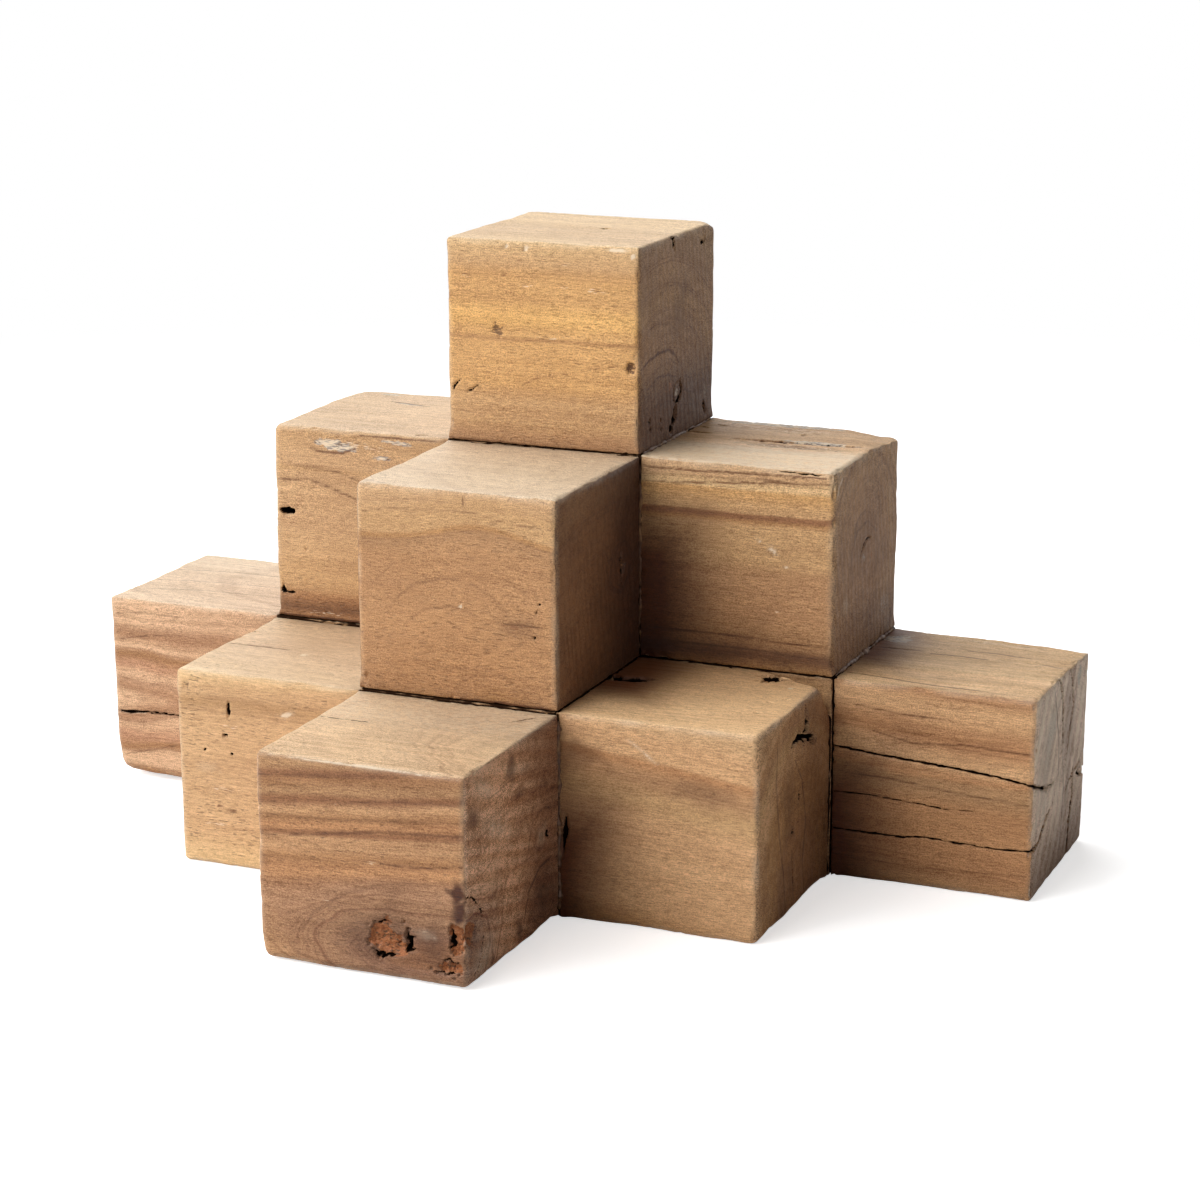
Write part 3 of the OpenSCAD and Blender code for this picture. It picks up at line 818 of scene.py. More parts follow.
        masks = {n: g.add("ShaderNodeAttribute", attribute_name=n).outputs["Fac"] for n in SawnCube.MASKS}
        broken = {n: g.place(self.effects.ragged, {"Grit": fibres["Grit"], "Soft": masks[n]}).outputs[0]
                  for n in ("pale", "grey", "fleck")}
        pale = g.math("MULTIPLY_ADD", broken["pale"], 0.45, g.math("MULTIPLY", masks["pale"], 0.4))
        # Paler arrises: sanded wear, and a painted highlight along the edges.
        colour = g.mix(g.math("MULTIPLY", masks["arris"], 0.25), colour, Tone.BONE.linear)
        # The dark mask darkens stains and knot halos, and also paints shade into inner corners and cast shadows.
        colour = g.mix(masks["dark"], colour, Tone.GRIME.linear, "MULTIPLY")
        chips = g.mix(g.step(fibres["Hair"], 0.4, 0.62), Tone.SLATE.linear, Tone.BONE.linear)
        chips = g.mix(g.step(fibres["Grit"], 0.42, 0.3), chips, Tone.COCOA.linear)
        colour = g.mix(g.math("MULTIPLY", broken["grey"], 0.85), colour, chips)
        colour = g.mix(pale, colour, Tone.BONE.linear)
        # Torn fibres: pale hairs, partly painted glints, and dark hairs that are painted shadow.
        glint = g.step(fibres["Hair"], 0.55, 0.64)
        pit = g.step(fibres["Hair"], 0.42, 0.34)
        colour = g.mix(g.math("MULTIPLY", g.math("MULTIPLY", glint, broken["fleck"]), 0.7), colour, Tone.BONE.linear)
        colour = g.mix(g.math("MULTIPLY", g.math("MULTIPLY", pit, broken["fleck"]), 0.6), colour, Tone.UMBER.linear)
        grit = g.math("SUBTRACT", fibres["Grit"], 0.5)
        hair = g.math("SUBTRACT", fibres["Hair"], 0.5)
        # Dents: darker crumbs are painted shade in the hollow, and paler crumbs painted highlights.
        pit = masks["pit"]
        for side, low, tone in ((2.6, 0.5, Tone.COCOA), (-2.6, 1.15, Tone.TAN)):
            crumbled = g.step(g.math("MULTIPLY_ADD", grit, side, pit), low, low + 0.35)
            colour = g.mix(g.math("MULTIPLY", crumbled, pit), colour, tone.linear)
        vein = g.step(g.math("MULTIPLY_ADD", hair, 0.5, masks["vein"]), 0.16, 0.62, (0.0, 0.85))
        colour = g.mix(vein, colour, Tone.UMBER.linear, "MULTIPLY")
        crumbs = g.mix(g.step(fibres["Grit"], 0.34, 0.5), Tone.COCOA.linear, Tone.RUST.linear)
        crumbs = g.mix(g.step(fibres["Speckle"], 0.55, 0.75, (0.0, 0.5)), crumbs, Tone.GOLD.linear)
        colour = g.mix(g.step(g.math("MULTIPLY_ADD", grit, 0.5, masks["rust"]), 0.4, 0.55), colour, crumbs)
        shine = self.SHINE
        # Cracks and holes get near-black painted shade, and seams a painted shadow for the gap between cubes; neither
        # shines.
        for name, tone in (("cavity", Tone.SOOT), ("seam", Tone.JOINT)):
            sharp = g.step(g.math("MULTIPLY_ADD", grit, 0.16, masks[name]), 0.42, 0.56)
            colour = g.mix(sharp, colour, tone.linear)
            shine = g.blend(sharp, shine, 0.0)
        g.feed(shader.inputs["Base Color"], colour)

        g.feed(shader.inputs["Roughness"], g.step(fibres["Streak"], 0.35, 0.65, (0.62, 0.5)))
        g.feed(shader.inputs["Specular IOR Level"], shine)
        height = g.math("MULTIPLY_ADD", fibres["Hair"], 0.8, fibres["Speckle"])
        height = g.math("MULTIPLY_ADD", fibres["Pore"], -1.2, height)
        height = g.math("MULTIPLY_ADD", g.math("MULTIPLY", saw, end), -0.8, height)
        bump = g.add("ShaderNodeBump", {"Height": height, "Strength": 0.7, "Distance": 0.35 * MM})
        g.feed(shader.inputs["Normal"], bump.outputs[0])
        return material


@dataclass
class Surface:
    """A lattice on the six faces of a box: its points and quads, and which face each is on."""

    points: np.ndarray
    quads: np.ndarray
    on: dict[Face, np.ndarray]

    @classmethod
    def on_box(cls, knots: list[np.ndarray]) -> "Surface":
        """Lays a lattice over a box's faces, with shared points along the edges.

        Args:
            knots: The lattice's places along X, Y and Z, low to high.

        Returns:
            The surface, with its quads turned outwards.
        """
        counts = [len(k) for k in knots]
        ids, quads = [], []
        for face in Face:
            a, b = face.plane
            i, j = np.meshgrid(np.arange(counts[a]), np.arange(counts[b]), indexing="ij")
            index = [None, None, None]
            index[a], index[b] = i, j
            index[face.axis] = np.full_like(i, 0 if face.side < 0 else counts[face.axis] - 1)
            label = (index[0] * counts[1] + index[1]) * counts[2] + index[2]
            corners = [label[:-1, :-1], label[1:, :-1], label[1:, 1:], label[:-1, 1:]]
            quad = np.stack([c.ravel() for c in corners], 1)
            turns_out = -1 if face.axis == 1 else 1
            quads.append(quad if face.side == turns_out else quad[:, ::-1])
            ids.append(label.ravel())
        labels, flat = np.unique(np.concatenate(quads), return_inverse=True)
        x, rest = np.divmod(labels, counts[1] * counts[2])
        y, z = np.divmod(rest, counts[2])
        points = np.stack([knots[0][x], knots[1][y], knots[2][z]], 1)
        on = {face: np.isin(labels, found) for face, found in zip(Face, ids)}
        return cls(points, flat.reshape(-1, 4), on)


def knots_along(low: float, high: float, base: float, windows: list[Window], most: int) -> np.ndarray:
    """Places along an axis whose gaps follow the local step.

    The count is the integral of 1 / step, up to a limit, and the places share it out evenly.

    Args:
        low: The first place.
        high: The last place.
        base: The step outside every window.
        windows: The stretches with a finer step.
        most: The most steps that there may be.

    Returns:
        The places, from low to high.
    """
    s = np.linspace(low, high, 4000)
    step = np.full_like(s, base)
    for w in windows:
        inside = (s > w.low) & (s < w.high)
        step = np.where(inside, np.minimum(step, w.step), step)
    density = np.convolve(np.pad(1 / step, 20, mode="edge"), np.ones(41) / 41, mode="valid")
    total = np.concatenate([[0.0], np.cumsum((density[1:] + density[:-1]) / 2 * np.diff(s))])
    count = min(max(int(round(total[-1])), 8), most)
    return np.interp(np.linspace(0, total[-1], count + 1), total, s)


@dataclass
class SawnCube:
    """One sawn block: where it stands, its wood, its marks and its wear."""

    MASKS = ("cavity", "vein", "pit", "rust", "dark", "pale", "grey", "fleck", "arris", "seam")
    SEAM_R = 0.9
    # How far the painted shadow of a seam reaches from another cube.
    SEAM_SHADOW_WIDTH = 0.45
    # Painted shade in every inner corner: its strength where the cubes meet, and how fast it fades away from them.
    CORNER_SHADE = 0.4
    CORNER_SHADE_REACH = 7.0

    node: str
    slot: str
    cell: tuple[int, int, int]
    timber: Timber
    marks: tuple[Mark, ...] = ()
    corner_wear: Vec3 | None = None
    wear_left: bool = False
    arris_r: float = ARRIS_R
    knocked_r: float = 0.0
    chips: float = 0.4
    plain: bool = False
    most_steps: int = 84
    side: float = field(init=False, default=100.0)
    neighbours: list["SawnCube"] = field(init=False, default_factory=list)

    def corner(self) -> np.ndarray:
        """The cell's lowest corner, in millimetres."""
        column, row, layer = self.cell
        return np.array([column - 0.5, MIDDLE_ROW - row - 0.5, layer]) * self.side

    def knots(self, low: np.ndarray, high: np.ndarray) -> list[np.ndarray]:
        """The lattice's places along each axis, fine at the arrises and at the marks."""
        base = PLAIN_STEP if self.plain else COARSE_STEP
        edge = self.arris_r * 1.6
        windows = [w for mark in self.marks for w in mark.windows()]
        found = []
        for axis in range(3):
            own = [w for w in windows if w.axis == axis]
            own.append(Window(axis, low[axis] - 1, low[axis] + edge, ARRIS_STEP))
            own.append(Window(axis, high[axis] - edge, high[axis] + 1, ARRIS_STEP))
            found.append(knots_along(low[axis], high[axis], base, own, self.most_steps))
        return found

    def past_wear(self, p: np.ndarray) -> np.ndarray:
        """How far each point is past the plane of the worn corner, or far short of it without one.

        The plane runs through the three places where the wear ends along the edges.
        """
        if self.corner_wear is None:
            return np.full(len(p), -1e3)
        return (p - self.wear_start()) @ self.wear_normal()

    def wear_start(self) -> np.ndarray:
        """The place on the top back edge where the wear ends."""
        reach = self.corner_wear[0]
        return np.array([reach if self.wear_left else self.side - reach, self.side, self.side])

    def wear_normal(self) -> np.ndarray:
        """The outward normal of the worn corner's plane."""
        n = 1 / np.array(self.corner_wear, float) * [-1 if self.wear_left else 1, 1, 1]
        return n / np.linalg.norm(n)

    def gap(self, p: np.ndarray) -> np.ndarray:
        """The distance from each point to the nearest of the other cubes, less their worn corners."""
        found = np.full(len(p), 1e3)
        for other in self.neighbours:
            low, high = (np.array(c) / MM - self.corner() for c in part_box(other.node))
            outside = np.linalg.norm(np.maximum(np.maximum(low - p, p - high), 0), axis=1)
            worn_off = other.past_wear(p + self.corner() - other.corner())
            found = np.minimum(found, np.maximum(outside, worn_off))
        return found

    def radii(self, p: np.ndarray, low: np.ndarray) -> np.ndarray:
        """The arris radius near each point.

        It is sanded unevenly, larger at feet and knocks, and small where another cube's arris
        meets it, because the cubes were glued before they wore.
        """
        seed = self.seed()
        r = self.arris_r * (1 + 0.25 * waves(p, 60.0, seed) + 0.15 * waves(p, 17.0, seed + 1))
        if self.cell[2] == 0:
            r = r + (FOOT_R - ARRIS_R) * (1 - smoothstep(4, 14, p[:, 2] - low[2]))
        if self.knocked_r:
            near = np.hypot(p[:, 0] - low[0], p[:, 2] - low[2])
            r = r + (self.knocked_r - ARRIS_R) * (1 - smoothstep(8, 22, near))
        r = self.SEAM_R + (r - self.SEAM_R) * smoothstep(0.5, 7.0, self.gap(p))
        return np.clip(r, 0.8, 12.0)

    def seed(self) -> int:
        """A whole number that is this cube's own."""
        column, row, layer = self.cell
        return 1000 + 100 * (column + 3) + 10 * row + layer

    def rounded(self, p: np.ndarray, low: np.ndarray, high: np.ndarray) -> tuple[np.ndarray, np.ndarray]:
        """Rounds the box's arrises.

        The core point is p kept at least r inside the box, and p moves to the core point plus r
        along the unit vector from the core point to p.

        Args:
            p: Points on the box.
            low: The box's lowest corner.
            high: The box's highest corner.

        Returns:
            The moved points and their outward normals.
        """
        r = self.radii(p, low)[:, None]
        core = np.clip(p, low + r, high - r)
        away = p - core
        normal = away / np.linalg.norm(away, axis=1, keepdims=True)
        return core + r * normal, normal

    def worn(self, p: np.ndarray) -> np.ndarray:
        """Planes off a back top corner: points past the plane slide back onto it, softly."""
        if self.corner_wear is None:
            return p
        past = self.past_wear(p) + 0.5 * waves(p, 14.0, self.seed() + 5)
        soft = 0.8
        over = soft * np.logaddexp(0, past / soft)
        return p - self.wear_normal() * over[:, None]

    def build(self) -> bpy.types.Object:
        """Makes the cube's mesh: lattice, rounding, chips, marks, then wear."""
        low, high = (np.array(c) / MM - self.corner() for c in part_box(self.node))
        surface = Surface.on_box(self.knots(low, high))
        flat = surface.points
        points, normal = self.rounded(flat, low, high)
        seed = self.seed()
        square = np.sort(np.minimum(flat - low, high - flat), axis=1)[:, 1]
        near_arris = 1 - smoothstep(0.5, self.arris_r * 1.5, square)
        depth = self.chips * near_arris * np.clip(waves(flat, 6.0, seed + 7) - 0.7, 0, 1) * 1.8
        depth = depth + 0.12 * (1 + waves(flat, 45.0, seed + 8))
        masks = {name: np.zeros(len(flat)) for name in self.MASKS}
        for number, mark in enumerate(self.marks):
            here = surface.on[mark.face]
            uv = flat[here][:, list(mark.face.plane)]
            cut, painted = mark.carve(uv, seed + 20 * number)
            depth[here] = np.maximum(depth[here], np.minimum(cut, DEEPEST_CARVE))
            for name, value in painted.items():
                masks[name][here] = np.maximum(masks[name][here], value)
        points = self.worn(points - normal * depth[:, None])
        points = np.clip(points, low, high)
        gap = self.gap(points)
        away = gap * (1 + 0.3 * waves(flat, 4.0, seed + 10))
        # The arris mask: edge wear that is partly a painted highlight, left off at the seams.
        masks["arris"] = near_arris * (0.5 + 0.35 * waves(flat, 22.0, seed + 9)) * smoothstep(1.5, 7.0, gap)
        # Painted shadow: a dark line where another cube is close, for the gap between them.
        masks["seam"] = edge(self.SEAM_SHADOW_WIDTH - away)
        # Painted shade: the surface darkens the nearer it comes to another cube.
        masks["dark"] = np.maximum(masks["dark"], self.CORNER_SHADE * np.exp(-away / self.CORNER_SHADE_REACH))
        mesh = bpy.data.meshes.new(self.node + "_wood")
        mesh.from_pydata(((points + self.corner()) * MM).tolist(), [], surface.quads.tolist())
        for name, value in masks.items():
            layer = mesh.attributes.new(name, "FLOAT", "POINT")
            layer.data.foreach_set("value", np.clip(value, 0, 1).astype(np.float32))
        mesh.shade_smooth()
        piece = bpy.data.objects.new(self.node + "_wood", mesh)
        bpy.context.scene.collection.objects.link(piece)
        return piece

    def dress(self, piece: bpy.types.Object, finish: WoodFinish) -> None:
        """Gives the cube its wood and seats it in the frame."""
        corner = tuple(float(c) for c in self.corner())
        piece.data.materials.append(finish.make(self.node + "_timber", self.timber, corner))
        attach(piece, "root")
        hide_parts(self.node)


@dataclass
class GlueBead:
    """Glue squeezed out of a joint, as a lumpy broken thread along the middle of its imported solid."""

    node: str
    axis: int
    radius: float = 1.0
    steps: int = 200
    sides: int = 12

    def build(self) -> bpy.types.Object:
        """Makes the bead: rings of radius r(s) round a line, where r and the line wander.

        r(s) = radius * (1 + long waves + short waves), kept above a hair, times an end that closes
        as the square root of 1 - (2s - 1)^12.
        """
        low, high = (np.array(c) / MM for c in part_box(self.node))
        middle = (low + high) / 2
        s = np.linspace(0, 1, self.steps)
        a = np.arange(self.sides) * 2 * np.pi / self.sides
        along = low[self.axis] + s * (high - low)[self.axis]
        seed = 70 + self.axis + len(self.node)
        line = np.stack([along, np.zeros_like(along)], 1)
        lumps = 0.85 + 0.5 * waves(line, 19.0, seed) + 0.35 * waves(line, 5.0, seed + 1)
        closed = np.sqrt(np.clip(1 - (2 * s - 1) ** 12, 0, 1))
        r = self.radius * np.clip(lumps, 0.12, 1.8) * closed
        u, v = [k for k in range(3) if k != self.axis]
        points = np.zeros((self.steps, self.sides, 3))
        points[:, :, self.axis] = along[:, None]
        points[:, :, u] = middle[u] + 0.2 * waves(line, 13.0, seed + 2)[:, None] + r[:, None] * np.cos(a)
        points[:, :, v] = middle[v] + 0.2 * waves(line, 13.0, seed + 3)[:, None] + r[:, None] * np.sin(a)
        points = np.clip(points, low, high)
        i, j = np.meshgrid(np.arange(self.steps - 1), np.arange(self.sides), indexing="ij")
        k = (j + 1) % self.sides
        corners = [i * self.sides + j, i * self.sides + k, (i + 1) * self.sides + k, (i + 1) * self.sides + j]
        quads = np.stack([c.ravel() for c in corners], 1)
        if self.axis != 1:
            quads = quads[:, ::-1]
        mesh = bpy.data.meshes.new(self.node + "_thread")
        ends = [list(range(self.sides)), list(range((self.steps - 1) * self.sides, self.steps * self.sides))]
        mesh.from_pydata((points.reshape(-1, 3) * MM).tolist(), [], quads.tolist() + ends)
        mesh.shade_smooth()
        piece = bpy.data.objects.new(self.node + "_thread", mesh)
        bpy.context.scene.collection.objects.link(piece)
        return piece

    def dress(self, piece: bpy.types.Object, material: bpy.types.Material) -> None:
        """Gives the bead its finish and seats it in the frame."""
        piece.data.materials.append(material)
        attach(piece, "root")
        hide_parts(self.node)


def glue_finish() -> bpy.types.Material:
    """Dried glue: brown where it is thin over the dark joint, yellowish at its lumps, and dusty."""
    material = bpy.data.materials.new("dried_glue")
    material.use_nodes = True
    g = Graph(material.node_tree)
    shader = material.node_tree.nodes["Principled BSDF"]
    seat = g.add("ShaderNodeTexCoord").outputs["Object"]
    dust = g.noise(g.scaled(seat, (150.0, 150.0, 150.0)), 2.0, 0.6)
    clots = g.noise(g.scaled(seat, (900.0, 900.0, 900.0)), 2.0, 0.5)
    colour = g.mix(g.step(dust, 0.48, 0.72), Tone.COCOA.linear, Tone.GLUE.linear)
    g.feed(shader.inputs["Base Color"], g.mix(g.step(clots, 0.5, 0.75, (0.0, 0.5)), colour, Tone.UMBER.linear))
    g.feed(shader.inputs["Roughness"], g.step(dust, 0.3, 0.7, (0.4, 0.62)))
    bump = g.add("ShaderNodeBump", {"Height": clots, "Strength": 0.5, "Distance": 0.3 * MM})
    g.feed(shader.inputs["Normal"], bump.outputs[0])
    return material


@dataclass(frozen=True)
class Lamp:
    """A soft lamp: its bearing from the front, its height in degrees, and its reach and power."""

    name: str
    azimuth: float
    elevation: float
    distance: float
    power: float
    size: Vec2

    def build(self) -> None:
        """Hangs the lamp, facing the object."""
        az, el = math.radians(self.azimuth), math.radians(self.elevation)
        away = Vector((math.sin(az) * math.cos(el), -math.cos(az) * math.cos(el), math.sin(el)))
        data = bpy.data.lights.new(self.name, "AREA")
        data.shape = "RECTANGLE"
        data.energy = self.power
        data.size, data.size_y = self.size
        lamp = bpy.data.objects.new(self.name, data)
        lamp.location = away * self.distance + Vector((0.0, 0.0, 0.12))
        lamp.rotation_mode = "QUATERNION"
        lamp.rotation_quaternion = away.to_track_quat("Z", "Y")
        bpy.context.scene.collection.objects.link(lamp)


@dataclass(frozen=True)
class Studio:
    """The pale floor, the lamps and the camera.

    The camera's place and turn come from the photograph's perspective, in sides of a cube.
    """

    azimuth: float = 22.954
    elevation: float = 14.997
    roll: float = -0.145
    lens: float = 89.43
    eye: Vec3 = (5.7819, -12.4394, 5.0271)
    floor_size: float = 9.0
    floor_tone: float = 0.85
    floor_glow: float = 0.62
    floor_near: float = 0.7
    floor_far: float = 1.6
    sky: float = 0.04
    key: Lamp = Lamp("key", -48.0, 32.0, 3.0, 76.0, (2.2, 2.4))
    front: Lamp = Lamp("front", -15.0, 38.0, 3.0, 28.0, (1.2, 1.0))
    rear: Lamp = Lamp("rear", -137.0, 52.0, 3.0, 49.0, (2.4, 2.0))
    side: Lamp = Lamp("side", 138.0, 35.0, 3.0, 6.0, (1.6, 1.2))

    def camera(self, cube_side: float) -> None:
        """Sets the camera: back points away from the object, and right lies level before the roll."""
        az, el, roll = (math.radians(a) for a in (self.azimuth, self.elevation, self.roll))
        back = Vector((math.sin(az) * math.cos(el), -math.cos(az) * math.cos(el), math.sin(el)))
        right = Vector((math.cos(az), math.sin(az), 0.0))
        up = back.cross(right)
        turned_right = right * math.cos(roll) + up * math.sin(roll)
        turned_up = up * math.cos(roll) - right * math.sin(roll)
        data = bpy.data.cameras.new("camera")
        data.lens, data.sensor_width = self.lens, 36.0
        data.clip_start, data.clip_end = 0.05, 60.0
        camera = bpy.data.objects.new("camera", data)
        turn = Matrix((turned_right, turned_up, back)).transposed().to_4x4()
        camera.matrix_world = Matrix.Translation(Vector(self.eye) * cube_side * MM) @ turn
        bpy.context.scene.collection.objects.link(camera)
        bpy.context.scene.camera = camera

    def floor(self) -> None:
        """Lays the floor.

        It is grey for the light that it throws back, and near white for the camera, with a glow that
        only the camera sees. Away from the object it fades into plain white.
        """
        half = self.floor_size / 2
        mesh = bpy.data.meshes.new("floor")
        mesh.from_pydata([(-half, -half, 0), (half, -half, 0), (half, half, 0), (-half, half, 0)], [], [(0, 1, 2, 3)])
        floor = bpy.data.objects.new("floor", mesh)
        bpy.context.scene.collection.objects.link(floor)
        material = bpy.data.materials.new("floor_white")
        material.use_nodes = True
        g = Graph(material.node_tree)
        material.node_tree.nodes.clear()
        seen = g.add("ShaderNodeLightPath").outputs["Is Camera Ray"]
        seat = g.add("ShaderNodeTexCoord").outputs["Object"]
        away = g.step(g.number("LENGTH", seat), self.floor_near, self.floor_far)
        tone = g.mix(seen, (*(self.floor_tone,) * 3, 1.0), (1.0, 1.0, 1.0, 1.0))
        paint = g.add("ShaderNodeBsdfDiffuse", {"Color": tone}).outputs[0]
        glow = g.add("ShaderNodeEmission", {"Strength": g.math("MULTIPLY", seen, self.floor_glow)}).outputs[0]
        both = g.add("ShaderNodeAddShader", {0: paint, 1: glow}).outputs[0]
        white = g.add("ShaderNodeEmission", {"Strength": 1.0}).outputs[0]
        faded = g.math("MULTIPLY", away, seen)
        surface = g.add("ShaderNodeMixShader", {0: faded, 1: both, 2: white}).outputs[0]
        g.add("ShaderNodeOutputMaterial", {"Surface": surface})
        mesh.materials.append(material)
        floor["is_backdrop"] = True

    def world(self) -> None:
        """White for the camera and for reflections, and a soft even sky for the light."""
        world = bpy.data.worlds.new("sky")
        world.use_nodes = True
        bpy.context.scene.world = world
        g = Graph(world.node_tree)
        world.node_tree.nodes.clear()
        path = g.add("ShaderNodeLightPath")
        seen = g.math("MAXIMUM", path.outputs["Is Camera Ray"], path.outputs["Is Glossy Ray"])
        seen = g.math("MAXIMUM", seen, path.outputs["Is Transmission Ray"])
        strength = g.blend(seen, self.sky, 1.0)
        background = g.add("ShaderNodeBackground", {"Color": (1.0, 1.0, 1.0, 1.0), "Strength": strength})
        g.add("ShaderNodeOutputWorld", {"Surface": background.outputs[0]})

    def build(self, cube_side: float) -> None:
        """Sets the whole studio and the plain view transform."""
        self.camera(cube_side)
        self.floor()
        self.world()
        for lamp in (self.key, self.front, self.rear, self.side):
            lamp.build()
        bpy.context.scene.view_settings.view_transform = "Standard"


def line(face: Face, width: float, shade: float, *path: Vec2) -> Crack:
    """A dark line of growth or dirt, painted along a path."""
    return Crack(face, 0.0, path, width, (0.2, 0.2), min(shade, 0.9 * FAINT), 0.15)


def torn(at: Vec2, radius: float, stretch: float, turn: float = 0.0, face: Face = Face.FRONT) -> Patch:
    """A strip of torn fibres: pale hairs that are partly painted glints, beside dark hairs of painted shadow."""
    return Patch(face, 0.0, at, radius, stretch, turn, "fleck", 1.0)


def checks_of_top() -> tuple[Mark, ...]:
    """The top cube's cracks, dents and holes."""
    front, right, top = Face.FRONT, Face.RIGHT, Face.TOP
    return (
        Crack(front, 1.5, ((1.5, 22), (3, 25), (3, 27), (7, 31)), 0.9, shade=0.85),
        Crack(front, 1.5, ((9, 22), (11, 25), (13, 26), (17, 29)), 0.9, shade=0.85),
        Crack(front, 0.5, ((75, 40), (82, 41.5), (88, 42)), 0.6, shade=0.5),
        line(front, 0.8, 0.5, (40, 30), (48, 34), (64, 37)),
        line(front, 0.7, 0.3, (0, 54), (30, 53), (60, 53), (97, 52)),
        line(front, 1.4, 0.5, (0, 1.2), (18, 1.0), (50, 0.5)),
        Dish(front, 0.9, (26.5, 56), 3.4, strength=0.8),
        Dish(front, 1.6, (96.5, 42), 3.0, strength=0.9),
        Patch(front, 0.0, (90, 98), 1.1, 6.0, 0, "pale", 1.0),
        Patch(front, 0.0, (97.5, 95.5), 1.2, 1.6, 60, "pale", 1.0),
        Dish(front, 0.4, (77, 16), 0.9, strength=0.5),
        Dish(front, 0.4, (85, 33), 0.9, strength=0.5),
        Dish(front, 0.8, (75, 54), 0.9, strength=0.4),
        Dish(front, 1.2, (0, 8), 2.2, strength=0.3),
        Dish(front, 0.8, (32, 97), 1.2, mask="pale", strength=0.6),
        Dish(front, 0.8, (42, 96.5), 1.4, mask="pale", strength=0.6),
        torn((10, 81.5), 1.8, 2.4),
        torn((41, 78.5), 1.4, 4.0),
        torn((62, 79), 0.8, 4.0),
        torn((79, 78), 1.8, 4.0),
        torn((52, 53.5), 1.1, 7.0),
        torn((12, 88), 0.8, 3.0),
        torn((63, 90), 1.0, 3.0),
        Crack(right, 7, ((40, 4.5), (44, 8), (47, 14), (48, 18)), 5.0, (0.6, 0.3), ragged=0.4),
        Crack(right, 3.0, ((48, 17), (53, 19), (54.5, 23), (52, 28)), 2.6, (0.6, 0.3), ragged=0.3),
        Crack(right, 1.5, ((47, 16), (44, 20), (45, 25.5), (50, 28)), 1.3, shade=0.8),
        Patch(right, 0.0, (48, 22), 3.0, 1.0, 0, "grey", 0.8),
        Patch(right, 0.0, (40, 27), 5.0, 1.2, 30, "rust", 0.45),
        Crack(right, 3.5, ((43.5, 103), (44, 97), (45, 91.5)), 3.6, (1.0, 0.0), ragged=0.5),
        Crack(right, 1.5, ((78, 96), (80, 92.5), (83, 91), (86, 93), (86, 96.5)), 1.6, shade=0.8, ragged=0.5),
        Hole(right, 5, (13, 14), 2.4),
        Hole(right, 5, (14, 10), 2.2),
        Hole(right, 4, (27, 12), 1.7),
        Hole(right, 4, (28, 7.5), 1.7),
        Crack(right, 4, ((85, 11), (86, 8), (87, 5)), 2.4, (0.5, 0.5)),
        line(right, 2.4, 0.6, (2, 41), (12, 44), (25, 45.5), (38, 45), (45, 42), (52, 36)),
        line(right, 1.6, 0.4, (5, 57), (20, 60), (38, 58), (50, 52), (58, 42)),
        line(right, 1.6, 0.4, (20, 72), (38, 76), (50, 75), (62, 70)),
        line(right, 1.6, 0.5, (10, 30), (24, 34), (36, 33), (46, 30)),
        Patch(right, 0.0, (88, 15), 9.0, 1.0, 60, "grey", 0.4),
        Patch(right, 0.0, (52, 62), 10.0, 1.6, 60, "dark", 0.35),
        Strip(right, 0.0, (-30, -30), (130, 32), 30.0, "dark", 0.75),
        Patch(right, 0.0, (62, 31), 5.0, 1.3, 20, "dark", 0.4),
        Patch(right, 0.0, (40, 22), 13.0, 1.2, 0, "dark", 0.5),
        Strip(right, 0.0, (-5, -5), (105, 11), 9.0, "dark", 0.35),
        Hole(top, 5, (61, 54), 4.0),
        Dish(top, 0.4, (41, 57), 1.2, strength=0.4),
    )


def checks_of_middle_left() -> tuple[Mark, ...]:
    """The middle left cube's borer holes and grey torn patches."""
    front, top = Face.FRONT, Face.TOP
    return (
        Hole(front, 7, (8, 55.5), 8.5, 3.6),
        Hole(front, 4, (4.2, 13.6), 4.2, 3.4, 0.25),
        Crack(front, 1.5, ((5, 13.5), (9, 12.6), (12, 12.8)), 1.2, shade=0.8),
        Dish(front, 0.6, (18, 36), 0.9, strength=0.5),
        Patch(front, 0.3, (36, 91.5), 3.6, 4.4, -6, "grey", 1.0),
        Patch(front, 0.2, (70, 95.5), 1.6, 8.0, -3, "grey", 0.9),
        Patch(front, 0.2, (62, 87), 1.8, 4.0, 0, "grey", 0.85),
        torn((50, 92.5), 2.4, 9.0, -4),
        line(front, 1.4, 0.8, (22, 89), (30, 87.5), (40, 88), (48, 91)),
        line(front, 1.8, 0.6, (0, 71), (20, 73), (32, 70), (50, 64)),
        line(front, 0.9, 0.7, (50, 97.5), (70, 98), (100, 98.5)),
        line(front, 1.2, 0.55, (10, 79), (25, 79), (38, 78), (50, 74)),
        line(front, 1.2, 0.9, (0, 0.8), (40, 0.8), (100, 0.8)),
        Strip(front, 0.0, (-5, 3), (105, 9), 4.0, "dark", 0.6),
        Patch(front, 0.0, (30, 3.6), 1.0, 26.0, 0, "fleck", 0.8),
        Patch(front, 0.0, (60, 55), 12.0, 2.0, 10, "dark", 0.12),
        Patch(top, 0.1, (22, 92), 3.4, 2.4, 0, "grey", 0.95),
        Patch(top, 0.1, (43, 71.5), 2.0, 6.5, -12, "grey", 0.9),
        line(top, 1.2, 0.8, (30, 75), (42, 72.5), (56, 69)),
        Dish(top, 0.6, (10, 75), 1.2, strength=0.5),
        Crack(top, 1.5, ((80, 3), (84, 4), (88, 5)), 1.4, shade=0.7),
        line(top, 1.0, 0.4, (2, 45), (40, 48), (97, 46)),
        line(top, 1.0, 0.35, (2, 20), (50, 23), (97, 20)),
    )


